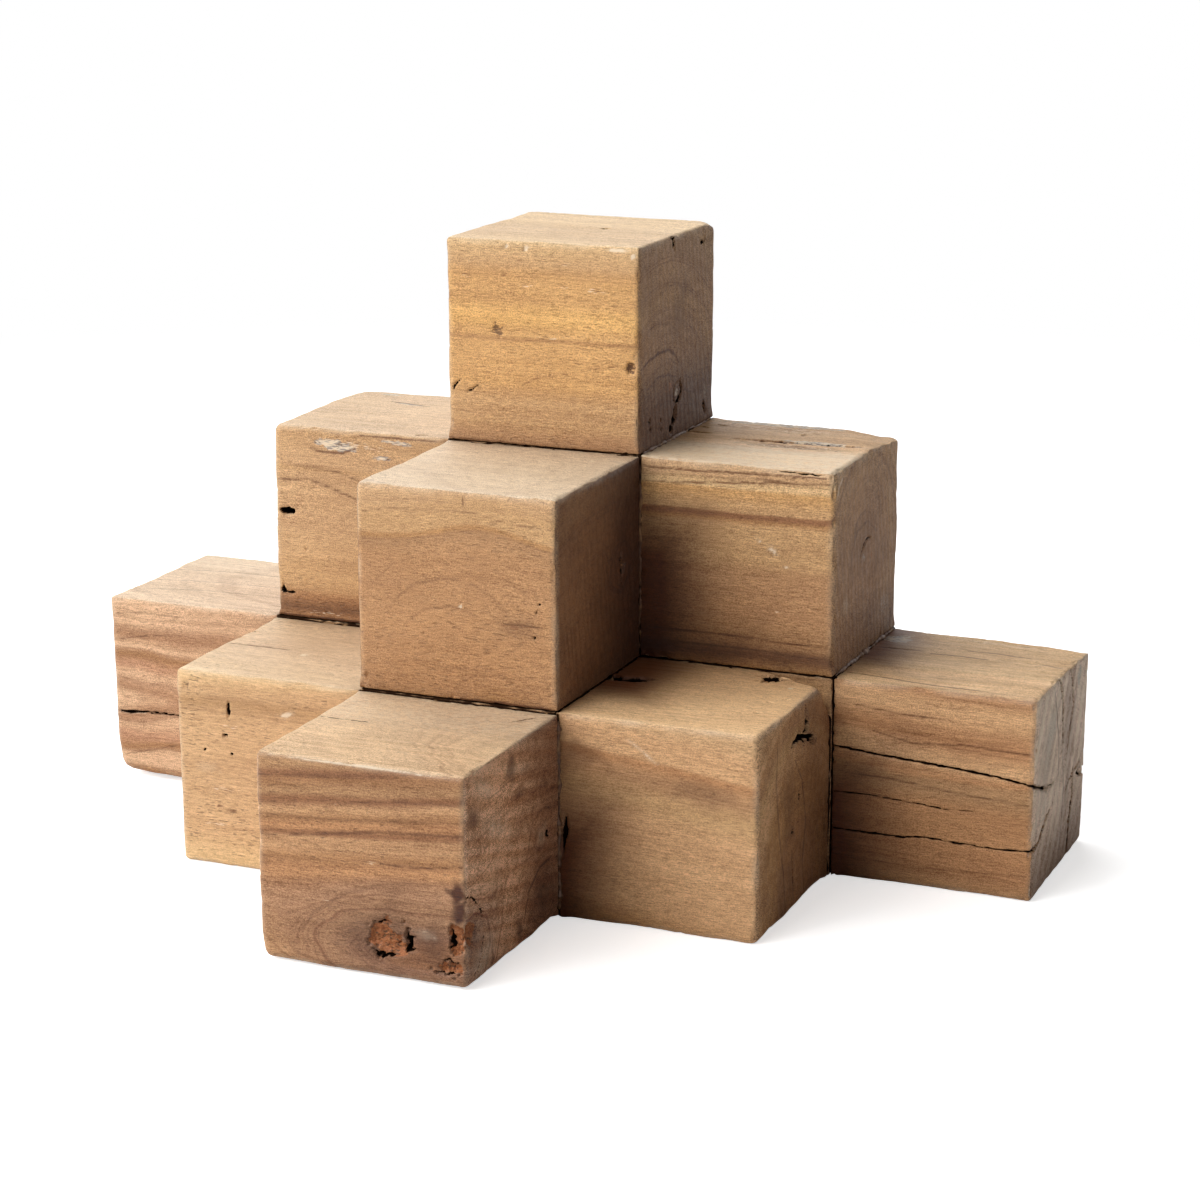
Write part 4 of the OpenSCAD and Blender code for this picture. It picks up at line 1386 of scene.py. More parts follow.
def checks_of_middle_right() -> tuple[Mark, ...]:
    """The middle right cube's torn top, pith shake and scuff."""
    front, right, top = Face.FRONT, Face.RIGHT, Face.TOP
    return (
        Patch(front, 0.0, (69, 59.5), 1.2, 3.0, -48, "pale", 1.0),
        Patch(front, 0.0, (62, 64), 0.7, 3.0, -48, "pale", 0.9),
        Patch(front, 0.0, (76, 52), 0.8, 2.0, 0, "pale", 0.9),
        line(front, 0.9, 0.8, (-3, 95.2), (30, 95), (60, 96), (95, 96.5)),
        line(front, 0.9, 0.75, (-3, 88.5), (20, 88.5), (40, 90), (70, 92.5), (97, 93.5)),
        line(front, 0.7, 0.5, (-3, 92), (40, 92.4), (80, 94.6)),
        line(front, 0.8, 0.6, (-3, 15), (40, 16), (97, 14)),
        line(front, 1.2, 0.5, (-3, 9), (50, 10), (97, 8)),
        Crack(front, 2.5, ((68, 99.2), (80, 98.6), (93, 98.4), (97, 99.5)), 1.2, (0.0, 0.3)),
        # Painted shade: the front darkens towards the middle front cube at its left, and towards its foot.
        Strip(front, 0.0, (-90, -60), (26, 66), 66.0, "dark", 1.15),
        Strip(front, 0.0, (-30, -30), (60, 18), 34.0, "dark", 0.7),
        torn((28, 83), 0.9, 3.0),
        torn((58, 81), 0.8, 3.0),
        torn((72, 30), 0.8, 2.4),
        Crack(right, 1.5, ((38, 46), (39, 50), (43, 54), (48, 56.5), (60, 57)), 1.3, shade=0.9),
        line(right, 1.6, 0.5, (30, 60), (32, 68), (38, 71), (48, 72)),
        line(right, 1.6, 0.5, (24, 40), (27, 56), (34, 64), (50, 66), (64, 58)),
        line(right, 1.4, 0.4, (14, 70), (28, 82), (50, 86), (72, 80)),
        Crack(right, 0.0, ((2, 85), (6, 92), (12, 96)), 1.2, (0.2, 0.2), 0.8, 0.2, "pale"),
        Patch(right, 0.0, (45, 49), 4.0, 1.0, 0, "grey", 0.6),
        Patch(right, 0.0, (57, 47), 3.0, 1.0, 0, "rust", 0.5),
        Patch(right, 0.0, (18, 31), 6.0, 1.0, 0, "pale", 0.35),
        Patch(right, 0.0, (78, 18), 13.0, 1.2, -30, "grey", 0.45),
        Dish(right, 0.6, (65, 33), 1.0, strength=0.6),
        Patch(right, 0.0, (40, 55), 16.0, 1.2, 0, "dark", 0.25),
        Strip(right, 0.0, (-30, -30), (130, 24), 24.0, "dark", 0.35),
        Crack(top, 5, ((30, 54), (40, 55), (60, 56.5), (75, 57.5), (93, 59)), 4.0, (0.2, 0.3), ragged=0.4),
        Patch(top, 0.0, (62, 56), 1.2, 24.0, 3, "pale", 0.8),
        Patch(top, 0.5, (62, 47), 5.0, 6.0, 0, "dark", 0.7),
        Patch(top, 0.0, (62, 47), 6.0, 6.0, 0, "fleck", 1.0),
        Patch(top, 0.3, (70, 60), 4.0, 6.0, 0, "grey", 0.9),
        Crack(top, 4, ((-3, 63), (5, 63), (14, 62)), 2.2, (1.0, 0.0)),
        Crack(top, 3, ((2, 77), (5, 76), (8, 74)), 1.6),
        Crack(top, 2, ((8, 85), (11, 84), (15, 82)), 1.2),
        Dish(top, 1.0, (58, 76), 2.0, strength=0.7),
        Strip(top, 0.0, (-20, -20), (120, 44), 20.0, "pale", 0.6),
        Strip(top, 0.0, (-20, 60), (120, 120), 16.0, "dark", 0.42),
        Patch(top, 0.25, (40, 94), 6.0, 8.0, 0, "grey", 0.8),
        Patch(top, 0.0, (45, 84), 8.0, 5.0, 0, "fleck", 0.9),
    )


def checks_of_middle_front() -> tuple[Mark, ...]:
    """The middle front cube's pinholes, knot check and chipped corner."""
    front, right, top = Face.FRONT, Face.RIGHT, Face.TOP
    return (
        line(front, 0.6, 0.5, (3, 86), (20, 89), (60, 90), (75, 87), (95, 85)),
        line(front, 0.5, 0.35, (3, 91), (30, 94), (70, 93), (97, 90)),
        Crack(front, 0.5, ((55, 93), (55, 97)), 0.6, shade=0.6),
        Hole(front, 2, (92.5, 50), 1.2),
        Hole(front, 2, (91, 46), 1.0),
        Hole(front, 2, (90, 34), 1.3),
        Dish(front, 0.3, (87, 55), 0.8, strength=0.4),
        Dish(front, 0.3, (95, 38), 0.8, strength=0.4),
        Dish(front, 0.3, (86, 30), 0.8, strength=0.4),
        Dish(front, 0.2, (53, 45), 1.0, mask="pale", strength=0.7),
        Patch(front, 0.0, (80, 38), 8.0, 1.9, 0, "dark", 0.3),
        line(front, 1.1, 0.5, (73, 38.5), (82, 39.5), (95, 39)),
        line(front, 0.8, 0.4, (76, 35), (84, 35.5), (92, 34.5)),
        line(front, 1.6, 0.8, (52, 0.6), (75, 1.0), (98, 0.8)),
        line(front, 1.0, 0.4, (2, 12), (30, 17), (60, 15)),
        line(front, 2.4, 0.4, (14, 36), (20, 46), (30, 54), (46, 58), (60, 56), (72, 49), (78, 40)),
        line(front, 2.4, 0.4, (24, 34), (34, 42), (48, 45), (62, 41)),
        line(front, 2.4, 0.35, (6, 50), (18, 62), (34, 69), (54, 70), (72, 64), (88, 52)),
        line(front, 1.6, 0.4, (48, 2), (51, 8), (60, 13), (72, 14), (82, 10), (88, 3)),
        Dish(front, 1.2, (1.5, 4), 3.6, strength=0.35),
        Crack(right, 2.5, ((77, 60), (75, 55), (77, 49), (76, 43)), 2.6, shade=0.9, ragged=0.6),
        line(right, 1.8, 0.5, (68, 48), (68, 57), (72, 63), (80, 63), (86, 56)),
        line(right, 1.8, 0.5, (70, 44), (77, 40), (84, 44), (86, 52)),
        Patch(right, 0.0, (77, 52), 9.0, 1.0, 0, "dark", 0.8),
        Dish(right, 1.5, (78, 51), 3.0, strength=1.0),
        # Painted shade: the right face darkens towards the middle right cube behind it.
        Strip(right, 0.0, (54, -40), (140, 140), 60.0, "dark", 0.85),
        line(right, 1.0, 0.4, (50, 20), (52, 50), (56, 80)),
        Dish(top, 0.3, (84, 82), 1.6, mask="pale", strength=0.8),
        Dish(top, 0.2, (23, 17), 0.9, mask="pale", strength=0.7),
    )


def checks_of_far_left() -> tuple[Mark, ...]:
    """The bottom far left cube's long crack and the dark growth bands that it crosses."""
    front, top = Face.FRONT, Face.TOP
    path = ((-3, 36.5), (10, 37), (20, 38), (38, 38), (55, 38.6), (70, 38))
    return (
        Crack(front, 4, path, 1.2, (1.0, 0.0), ragged=0.25),
        line(front, 0.9, 0.5, (0, 90), (20, 93), (45, 92)),
        line(front, 0.9, 0.5, (0, 76), (20, 80), (45, 83)),
        line(front, 0.9, 0.5, (0, 12), (20, 17), (45, 24)),
        line(top, 1.2, 0.5, (2, 20), (40, 30), (97, 32)),
        line(top, 1.2, 0.5, (2, 40), (40, 48), (97, 50)),
        line(top, 1.2, 0.5, (2, 64), (40, 70), (97, 70)),
        line(top, 1.2, 0.4, (2, 82), (40, 86), (97, 86)),
        Strip(top, 0.0, (-40, 60), (62, 150), 40.0, "pale", 0.5),
    )


def checks_of_far_right() -> tuple[Mark, ...]:
    """The bottom far right cube's long cracks and weathered, split end."""
    front, right, top = Face.FRONT, Face.RIGHT, Face.TOP
    upper = ((-3, 66.7), (20, 64.5), (40, 63.3), (60, 62), (80, 60.5), (103, 57.2))
    lower = ((-3, 24.5), (35, 24.5), (48, 26), (65, 25), (80, 24.6), (103, 25.6))
    return (
        Crack(front, 1.4, upper, 1.1, (1.0, 1.0), ragged=0.12),
        Crack(front, 1.5, ((-3, 43), (18, 43.5), (45, 42), (57, 41), (78, 42)), 0.7, (1.0, 0.0), 0.9, 0.1),
        Crack(front, 1.2, lower, 0.9, (1.0, 1.0), ragged=0.14),
        line(front, 0.8, 0.6, (10, 88), (30, 86), (60, 85)),
        line(front, 0.8, 0.6, (20, 76), (40, 72), (65, 74), (97, 73)),
        line(front, 0.8, 0.55, (0, 54), (30, 53), (60, 50), (97, 48)),
        line(front, 0.8, 0.45, (0, 12), (40, 10), (97, 13)),
        Crack(right, 5, ((-2, 58.5), (8, 55.5), (20, 51.5), (37, 49)), 2.0, (1.0, 0.0), ragged=0.4),
        Crack(right, 5, ((-2, 25.5), (10, 27), (22, 34), (36, 40)), 1.8, (1.0, 0.0), ragged=0.3),
        Crack(right, 4, ((40, 104), (45, 95), (49, 86), (50, 74), (52, 64)), 2.2, (1.0, 0.0), 0.95, 0.4),
        Crack(right, 5, ((72, 56), (73, 43), (74, 32), (70, 20), (67, -4)), 2.8, (0.0, 1.0), ragged=0.4),
        Crack(right, 3, ((58, 37), (66, 41), (75, 43.5), (88, 45)), 1.6, ragged=0.4),
        Crack(right, 7, ((79, 41.5), (90, 39), (103, 36.5)), 4.4, (0.0, 1.0)),
        Crack(right, 2.0, ((63, 98), (66, 92), (70, 80), (62, 62), (58, 50)), 1.8, (1.0, 0.0), 0.9, 0.4),
        line(right, 1.6, 0.6, (30, 100), (38, 84), (44, 66), (46, 50)),
        line(right, 1.6, 0.6, (52, 62), (56, 40), (54, 20), (50, 0)),
        Patch(right, 0.0, (62, 70), 14.0, 2.0, 80, "dark", 0.45),
        Patch(right, 0.0, (16, 66), 10.0, 2.0, 55, "dark", 0.25),
        Strip(right, 0.0, (-40, -40), (140, 24), 40.0, "dark", 0.7),
        Patch(right, 0.0, (10, 82), 7.0, 3.2, 66, "pale", 0.5),
        Strip(right, 0.0, (-30, 34), (52, 140), 24.0, "pale", 0.4),
        Patch(right, 0.0, (24, 66), 9.0, 3.4, 64, "dark", 0.4),
        Patch(right, 0.0, (33, 86), 6.0, 3.0, 66, "pale", 0.45),
        Patch(right, 0.0, (86, 78), 7.0, 2.6, 80, "pale", 0.5),
        Patch(right, 0.0, (60, 32), 8.0, 2.8, 70, "dark", 0.45),
        Patch(right, 0.0, (66, 79), 7.0, 2.4, 80, "rust", 0.35),
        Patch(right, 0.2, (80, 91), 5.0, 1.4, 60, "grey", 0.9),
        Patch(right, 0.0, (26.5, 20), 2.4, 1.3, 0, "dark", 0.5),
        Patch(right, 0.2, (30, 78), 14.0, 1.6, 60, "grey", 0.6),
        Patch(right, 0.2, (20, 40), 11.0, 1.8, 60, "grey", 0.5),
        # Painted shade: the top darkens beside the middle right cube, and the front towards the bottom right cube.
        Strip(top, 0.0, (-30, 30), (20, 130), 34.0, "dark", 1.0),
        Strip(front, 0.0, (-80, -60), (22, 62), 60.0, "dark", 1.15),
        Crack(top, 0.6, ((5, 61), (12, 62), (25, 63)), 1.2, shade=0.6),
        line(top, 1.2, 0.7, (30, 60), (45, 61), (60, 60)),
        line(top, 1.2, 0.7, (45, 71), (60, 72), (78, 70)),
        line(top, 1.2, 0.6, (85, 62), (97, 59)),
        line(top, 1.4, 0.8, (3, 14), (20, 12), (50, 8), (75, 7)),
        Patch(top, 0.1, (8, 80), 10.0, 1.2, 60, "grey", 0.7),
        Patch(top, 0.0, (55, 90), 5.0, 8.0, 0, "fleck", 0.7),
    )


def checks_of_bottom_left() -> tuple[Mark, ...]:
    """The bottom left cube's slot, flight hole, pinholes and split arris."""
    front, top = Face.FRONT, Face.TOP
    return (
        Crack(front, 3, ((28, 83), (28.1, 80.5), (27.9, 78)), 1.5, (1.0, 1.0), ragged=0.1),
        Hole(front, 4, (25.5, 67.5), 2.6, 1.6),
        Hole(front, 2, (14, 59), 1.3),
        Hole(front, 2, (29, 58.5), 1.3),
        Dish(front, 0.6, (5, 90.5), 1.8, strength=0.6),
        Patch(front, 0.0, (60, 82), 1.6, 3.0, 20, "pale", 0.8),
        Patch(front, 0.0, (15, 50), 3.0, 2.4, 0, "pale", 0.3),
        line(front, 0.8, 0.6, (20, 31), (26, 30), (31, 30)),
        line(front, 1.0, 0.3, (0, 87), (25, 86), (60, 84)),
        Strip(front, 0.0, (-5, 80), (105, 88), 4.0, "dark", 0.14),
        torn((22, 40), 1.2, 8.0),
        torn((18, 22), 1.2, 10.0),
        torn((30, 72), 1.2, 7.0),
        Crack(top, 2.5, ((-3, 72), (3, 72), (6, 72)), 1.8, (1.0, 0.0)),
        Crack(top, 2.5, ((-3, 60), (2, 60), (5, 60)), 1.8, (1.0, 0.0)),
        line(top, 1.2, 0.7, (3, 48.5), (20, 49), (35, 48.5)),
        Dish(top, 0.3, (46, 43), 2.0, mask="pale", strength=0.8),
        Dish(top, 0.4, (46, 67), 1.2, strength=0.5),
    )


def checks_of_bottom_right() -> tuple[Mark, ...]:
    """The bottom right cube's star shake, holes, bark pocket and worn corner."""
    front, right, top = Face.FRONT, Face.RIGHT, Face.TOP
    return (
        Crack(front, 3, ((3, 30), (4, 38), (5, 44), (4, 52)), 1.8),
        Patch(front, 0.0, (12, 83), 6.0, 2.2, -12, "dark", 0.5),
        Patch(front, 0.0, (72, 70), 7.0, 2.6, -8, "dark", 0.35),
        Dish(front, 0.4, (26, 87), 0.9, strength=0.4),
        Dish(front, 0.6, (13, 77), 1.4, strength=0.6),
        Crack(front, 0.0, ((36, 91), (43, 86.5), (50, 81)), 0.8, (0.2, 0.2), 0.8, 0.1, "pale"),
        Crack(right, 6, ((42, 82), (54, 84), (62, 82)), 3.4, (0.1, 1.0), ragged=0.3),
        Crack(right, 6, ((61, 83), (70, 79.5), (80, 75)), 4.2, (1.0, 0.2), ragged=0.3),
        Crack(right, 6, ((62, 81), (66, 86), (65, 92), (63, 97)), 4.2, (1.0, 0.1), ragged=0.4),
        line(right, 1.8, 0.6, (26, 97), (24, 70), (29, 44), (36, 20), (38, 2)),
        line(right, 1.8, 0.6, (50, 74), (60, 62), (66, 40), (62, 20), (66, 2)),
        Patch(right, 0.0, (44, 52), 12.0, 2.4, 88, "dark", 0.45),
        Crack(right, 2, ((47, 30), (48.5, 18), (50, 6)), 0.9, shade=0.7),
        Hole(right, 4, (56.5, 55), 2.2, 4.0),
        Hole(right, 4, (47.5, 39.5), 4.0, 2.2),
        Hole(right, 2, (55, 14), 1.3),
        Strip(right, 0.0, (27, -5), (52, 28), 5.0, "dark", 0.3),
        # Painted shade: the right face darkens towards the bottom far right cube behind it, and the front towards the
        # bottom front cube.
        Strip(right, 0.0, (56, -30), (130, 130), 44.0, "dark", 0.5),
        Strip(front, 0.0, (-80, -60), (22, 52), 60.0, "dark", 1.2),
        Patch(right, 0.0, (60, 84), 9.0, 1.4, 0, "dark", 0.4),
        Crack(top, 6, ((-2, 62), (12, 63), (24, 67)), 8.0, (1.0, 0.1), ragged=0.4),
        # Painted shade: the top darkens in the corner under the middle front and middle right cubes.
        Strip(top, 0.0, (-30, 36), (30, 130), 40.0, "dark", 1.0),
        Dish(top, 4.5, (74, 90), 5.5, mask="cavity", strength=1.0),
        Dish(top, 2.0, (71, 89), 2.4, mask="rust", strength=0.9),
        Dish(top, 0.3, (87, 77), 1.6, mask="pale", strength=0.8),
        Dish(top, 0.8, (91, 60), 1.3, strength=0.7),
        Dish(top, 0.8, (86, 53), 1.3, strength=0.6),
        Dish(top, 0.8, (86, 35), 1.3, strength=0.6),
        Dish(top, 0.6, (13, 28), 1.2, strength=0.5),
    )


def checks_of_bottom_front() -> tuple[Mark, ...]:
    """The bottom front cube's knots, bark pockets and oblique end."""
    front, right, top = Face.FRONT, Face.RIGHT, Face.TOP
    return (
        Dish(front, 3.0, (60.5, 20), 7.0, 1.0, 0.35, "rust", 1.0),
        Dish(front, 3.4, (66, 17), 6.0, 1.1, 0.35, "rust", 1.0),
        Crack(front, 6, ((70, 13), (74, 18), (72.5, 26)), 3.0, ragged=0.7),
        Crack(front, 3, ((53, 16), (58, 11.5), (68, 12)), 1.6, ragged=0.6),
        Crack(front, 2.5, ((55, 26), (61, 28), (67, 26)), 1.2, shade=0.8, ragged=0.5),
        Patch(front, 0.0, (82, 24.5), 2.8, 2.2, -8, "pale", 0.35),
        Patch(front, 0.0, (50, 98.4), 1.0, 52.0, 0, "pale", 0.9),
        Dish(front, 2.4, (94, 10.5), 2.6, 2.4, 0.35, "rust", 1.0),
        Crack(front, 3, ((85, 9), (91, 7), (99, 8)), 1.3, ragged=0.5),
        Crack(front, 2, ((87, 13.5), (94, 14), (99, 12.5)), 1.0, ragged=0.5),
        Dish(front, 3.0, (97.5, 26), 5.2, 0.9, 0.35, "rust", 1.0),
        Dish(front, 2.6, (97, 20), 3.6, 1.0, 0.35, "rust", 1.0),
        Crack(front, 4, ((92.5, 30), (95, 25), (94, 18)), 1.8, ragged=0.6),
        Patch(front, 0.0, (97.5, 45.5), 4.2, 1.4, 78, "dark", 1.3),
        Patch(front, 0.0, (98.5, 37), 3.0, 2.4, 82, "dark", 1.2),
        Patch(front, 0.0, (97, 36), 5.0, 0.7, 0, "dark", 0.9),
        Patch(front, 0.0, (85, 20), 12.0, 0.8, 10, "dark", 0.5),
        Patch(front, 0.0, (60, 20), 17.0, 1.6, 10, "dark", 0.42),
        Dish(front, 0.8, (84, 9), 1.2, strength=0.8),
        Dish(front, 0.8, (95, 5.5), 1.2, strength=0.8),
        torn((54, 77), 0.8, 3.0),
        torn((38, 79), 0.8, 2.4),
        torn((56, 54), 0.8, 5.0),
        torn((33, 33), 0.8, 3.0),
        torn((16, 55), 0.8, 5.0),
        line(front, 3.4, 0.45, (0, 88), (40, 92), (70, 95)),
        line(front, 3.4, 0.4, (40, 80), (70, 84), (100, 86)),
        line(front, 3.8, 0.4, (0, 70), (30, 71), (60, 74), (100, 78)),
        line(front, 3.4, 0.5, (0, 60), (30, 64), (60, 69), (100, 72)),
        line(front, 1.2, 0.6, (60, 54), (80, 55), (100, 58)),
        line(front, 5.0, 0.36, (15, 7), (19, 17), (28, 28), (42, 38), (62, 45), (100, 50)),
        line(front, 3.0, 0.3, (20, 9), (24, 18), (33, 28), (46, 36), (64, 42), (94, 46)),
        line(front, 3.4, 0.26, (26, 11), (31, 19), (40, 27), (52, 33), (66, 37), (92, 40)),
        line(front, 2.0, 0.4, (15, 7), (28, 4), (44, 3), (60, 4)),
        Dish(right, 3.0, (3, 27), 6.0, 0.9, 0.35, "rust", 1.0),
        Crack(right, 1.5, ((0, 44), (8, 42), (15, 34), (18, 22), (14, 10), (4, 3)), 1.4, (0.5, 0.3), 0.8, 0.5),
        Patch(right, 0.0, (4, 28), 11.0, 0.9, 0, "dark", 0.4),
        Patch(right, 0.0, (8, 78), 6.5, 1.2, 0, "dark", 0.75),
        Patch(right, 0.0, (48, 89), 8.0, 0.75, 0, "dark", 0.8),
        Patch(right, 0.0, (58, 75), 3.4, 2.4, 0, "dark", 0.6),
        Patch(right, 0.0, (56, 10), 6.0, 0.8, 0, "dark", 0.8),
        Patch(right, 0.0, (80, 47), 6.5, 1.0, 0, "pale", 0.4),
        Crack(right, 3, ((84.5, 47.5), (87, 45.5), (90.5, 44)), 2.4, ragged=0.4),
        line(right, 1.4, 0.7, (60, 12), (66, 25), (78, 32), (92, 33), (100, 30)),
        line(right, 1.0, 0.5, (64, 40), (70, 56), (82, 60), (96, 55)),
        Hole(right, 2, (46, 16), 1.3),
        Hole(right, 2, (45, 11), 1.3),
        Hole(right, 2, (44, 6), 1.3),
        # Painted shade: the right face darkens towards the bottom right cube behind it.
        Strip(right, 0.0, (66, -40), (140, 140), 36.0, "dark", 0.6),
        Patch(right, 0.0, (20, 88), 4.0, 3.4, -28, "pale", 0.5),
        Patch(right, 0.0, (32, 66), 5.0, 4.0, -24, "pale", 0.45),
        Patch(right, 0.0, (56, 86), 3.0, 5.0, -12, "pale", 0.35),
        Patch(right, 0.0, (30, 40), 7.0, 2.2, 86, "dark", 0.3),
        Patch(right, 0.0, (18, 11), 10.0, 1.6, 20, "pale", 0.4),
        Patch(right, 0.0, (62, 60), 6.0, 3.0, 12, "dark", 0.4),
        Patch(right, 0.0, (64, 28), 8.0, 1.6, 64, "dark", 0.5),
        Crack(top, 0.5, ((-2, 57), (15, 57), (38, 57)), 0.9, (1.0, 0.0), 0.85, 0.2),
        Patch(top, 0.0, (58, 73), 9.0, 1.4, 0, "dark", 0.12),
        Strip(top, 0.0, (-40, 44), (140, 150), 50.0, "pale", 0.5),
        Crack(top, 1.2, ((87, 83), (91, 88), (94, 92)), 0.9, shade=0.7),
    )


def golden() -> Timber:
    """The top cube's pale gold wood, cut beside the pith that lies under it."""
    bands = ((0, Tone.TAN), (12, Tone.WHEAT), (20, Tone.WHEAT), (32, Tone.GOLD), (45, Tone.GOLD), (51, Tone.GOLD),
             (52.5, Tone.OCHRE), (54, Tone.GOLD), (62, Tone.HONEY), (75, Tone.GOLD), (82, Tone.GOLD), (90, Tone.WHEAT),
             (100, Tone.STRAW))
    return Timber(bands, (33.0, -8.0), 2.0, wobble=2.0, line_gap=1.1, lines=0.2, mottle=0.35, streaks=0.35,
                  hair=1.1, speckle=1.9, pores=0.2, end_tone=Tone.DRAB,
                  end_share=0.75, saw=0.0, weathered=0.05, top_share=0.3)


def tan(seed: float) -> Timber:
    """Plain tan wood for the cubes that only their backs show."""
    bands = ((0, Tone.TAN), (35, Tone.SAND), (60, Tone.TAN), (100, Tone.WHEAT))
    return Timber(bands, (40.0 + 7 * seed, -30.0 - 5 * seed), seed, wobble=3.5, lines=0.25, mottle=0.70,
                  streaks=0.70, hair=1.1, speckle=1.9, pores=0.3)


def arched() -> Timber:
    """The middle front cube's wood: a pale band arches over browner wood."""
    bands = ((0, Tone.OCHRE), (12, Tone.HAZEL), (30, Tone.HAZEL), (70, Tone.HAZEL), (79.5, Tone.FAWN),
             (81.5, Tone.OCHRE), (84, Tone.WHEAT), (92, Tone.WHEAT), (100, Tone.SAND))
    knots = (
        Knot((104.0, 74.0, 50.0), (92.0, 78.0, 52.0), 4.0, 26.0, 1.0, 0.3, 0.3),
        Knot((70.0, 0.0, -2.0), (76.0, 0.0, -4.0), 2.0, 24.0, 0.64, 0.05, 0.2),
        Knot((80.0, 0.0, 38.0), (80.0, 9.0, 38.0), 1.0, 9.0, 0.5, 0.05, 0.2, 2.0),
    )
    # Its ends are dark end grain, darkened further as painted shade for the shaded right face.
    return Timber(bands, (60.0, -120.0), 5.0, wobble=1.6, line_gap=1.3, lines=0.14, mottle=0.49, streaks=0.28,
                  hair=1.1, speckle=1.9, pores=0.3, end_tone=Tone.UMBER, end_share=0.85, saw=0.0, weathered=0.0,
                  top_share=0.72,
                  bow=(63.0, 8.0, 28.0), knots=knots)


def lined() -> Timber:
    """The middle right cube's wood: dark lines under the top, a gold band, then brown."""
    bands = ((0, Tone.OCHRE), (6, Tone.UMBER), (15, Tone.FAWN), (30, Tone.TAN), (49, Tone.TAN), (53, Tone.WHEAT),
             (70, Tone.WHEAT), (72.5, Tone.OCHRE), (74, Tone.CHESTNUT), (75.5, Tone.CHESTNUT), (77, Tone.WHEAT),
             (87, Tone.GOLD), (89, Tone.STRAW), (95, Tone.SAND), (100, Tone.SAND))
    heart = ((5.0, Tone.CHESTNUT), (20.0, Tone.RUSSET), (38.0, Tone.OCHRE))
    return Timber(bands, (45.0, 50.0), 7.0, heart, wobble=1.6, line_gap=1.0, lines=0.22, mottle=0.49, streaks=0.49,
                  hair=1.1, speckle=1.9, pores=0.2, end_tone=Tone.FAWN, end_share=0.7, saw=0.0,
                  weathered=0.1, top_tone=Tone.APRICOT, top_share=0.6)


def light_tan() -> Timber:
    """The middle left cube's wood: light tan over a reddish foot."""
    bands = ((0, Tone.RUSSET), (12, Tone.RUSSET), (18, Tone.WHEAT), (50, Tone.SAND), (76, Tone.SAND),
             (78.5, Tone.WHEAT), (81, Tone.SAND), (100, Tone.WHEAT))
    return Timber(bands, (30.0, -220.0), 9.0, wobble=2.0, line_gap=1.4, lines=0.16, mottle=0.56, streaks=0.42,
                  hair=1.1, speckle=1.9, pores=0.2, top_share=0.4)


def figured() -> Timber:
    """The bottom far left cube's wood: orange brown bands that bend round a pale eye."""
    bands = ((0, Tone.BISCUIT), (12, Tone.ROSE), (18, Tone.RUSSET), (24, Tone.BISCUIT), (50, Tone.BISCUIT),
             (56, Tone.BISCUIT), (61, Tone.CLAY), (66, Tone.BISCUIT), (72, Tone.ROSE), (77, Tone.RUSSET),
             (82, Tone.BISCUIT), (89, Tone.CLAY), (95, Tone.BISCUIT))
    knots = (Knot((-60.0, 0.0, 46.0), (-5.0, 0.0, 44.0), 1.0, 70.0, 0.2, 0.0, 0.1, 8.0),)
    return Timber(bands, (50.0, -160.0), 11.0, lean=(0.0, 0.08), wobble=3.0, line_gap=2.2, lines=0.28, mottle=0.49,
                  streaks=0.49, hair=1.1, speckle=1.9, pores=0.3, top_share=0.55, knots=knots)


def pored() -> Timber:
    """The bottom left cube's wood: pale gold with open pores."""
    bands = ((0, Tone.STRAW), (20, Tone.SAND), (50, Tone.SAND), (78, Tone.SAND), (84, Tone.WHEAT), (90, Tone.SAND),
             (100, Tone.STRAW))
    return Timber(bands, (60.0, -150.0), 13.0, lean=(0.0, 0.02), wobble=2.4, line_gap=1.6, lines=0.14,
                  mottle=0.42, streaks=0.35, hair=0.95, speckle=0.9, pores=0.5, top_share=0.42)


def knotted() -> Timber:
    """The bottom front cube's wood: plum and russet stripes that bend round a branch."""
    bands = ((0, Tone.OCHRE), (8, Tone.FAWN), (16, Tone.CLAY), (30, Tone.TAN), (40, Tone.CLAY),
             (50, Tone.AUBURN), (56, Tone.RUSSET), (60, Tone.TAN), (64, Tone.TAN), (67, Tone.CHESTNUT),
             (70, Tone.AUBURN), (74, Tone.RUSSET), (78, Tone.TAN), (82, Tone.CHESTNUT), (86, Tone.FAWN),
             (91, Tone.RUSSET), (94, Tone.CHESTNUT), (98, Tone.FAWN))
    knots = (
        Knot((62.0, -4.0, 14.0), (112.0, 6.0, 16.0), 6.0, 47.0, 0.55, 0.65, 0.9, 7.0),
        Knot((80.0, 82.0, 16.0), (112.0, 82.0, 18.0), 7.0, 24.0, 0.7, 0.35, 0.5),
        Knot((90.0, 80.0, 47.0), (112.0, 80.0, 47.0), 2.0, 13.0, 0.7, 0.0, 0.4),
    )
    return Timber(bands, (50.0, -190.0), 17.0, lean=(0.0, 0.1), wobble=4.2, line_gap=1.2, lines=0.3, mottle=0.70,
                  streaks=0.63, hair=1.1, speckle=1.9, pores=0.35, end_tone=Tone.PEACH, end_share=0.9, saw=0.38,
                  saw_turn=76.0, saw_pitch=8.0, top_tone=Tone.CREAM, top_share=0.62, knots=knots)


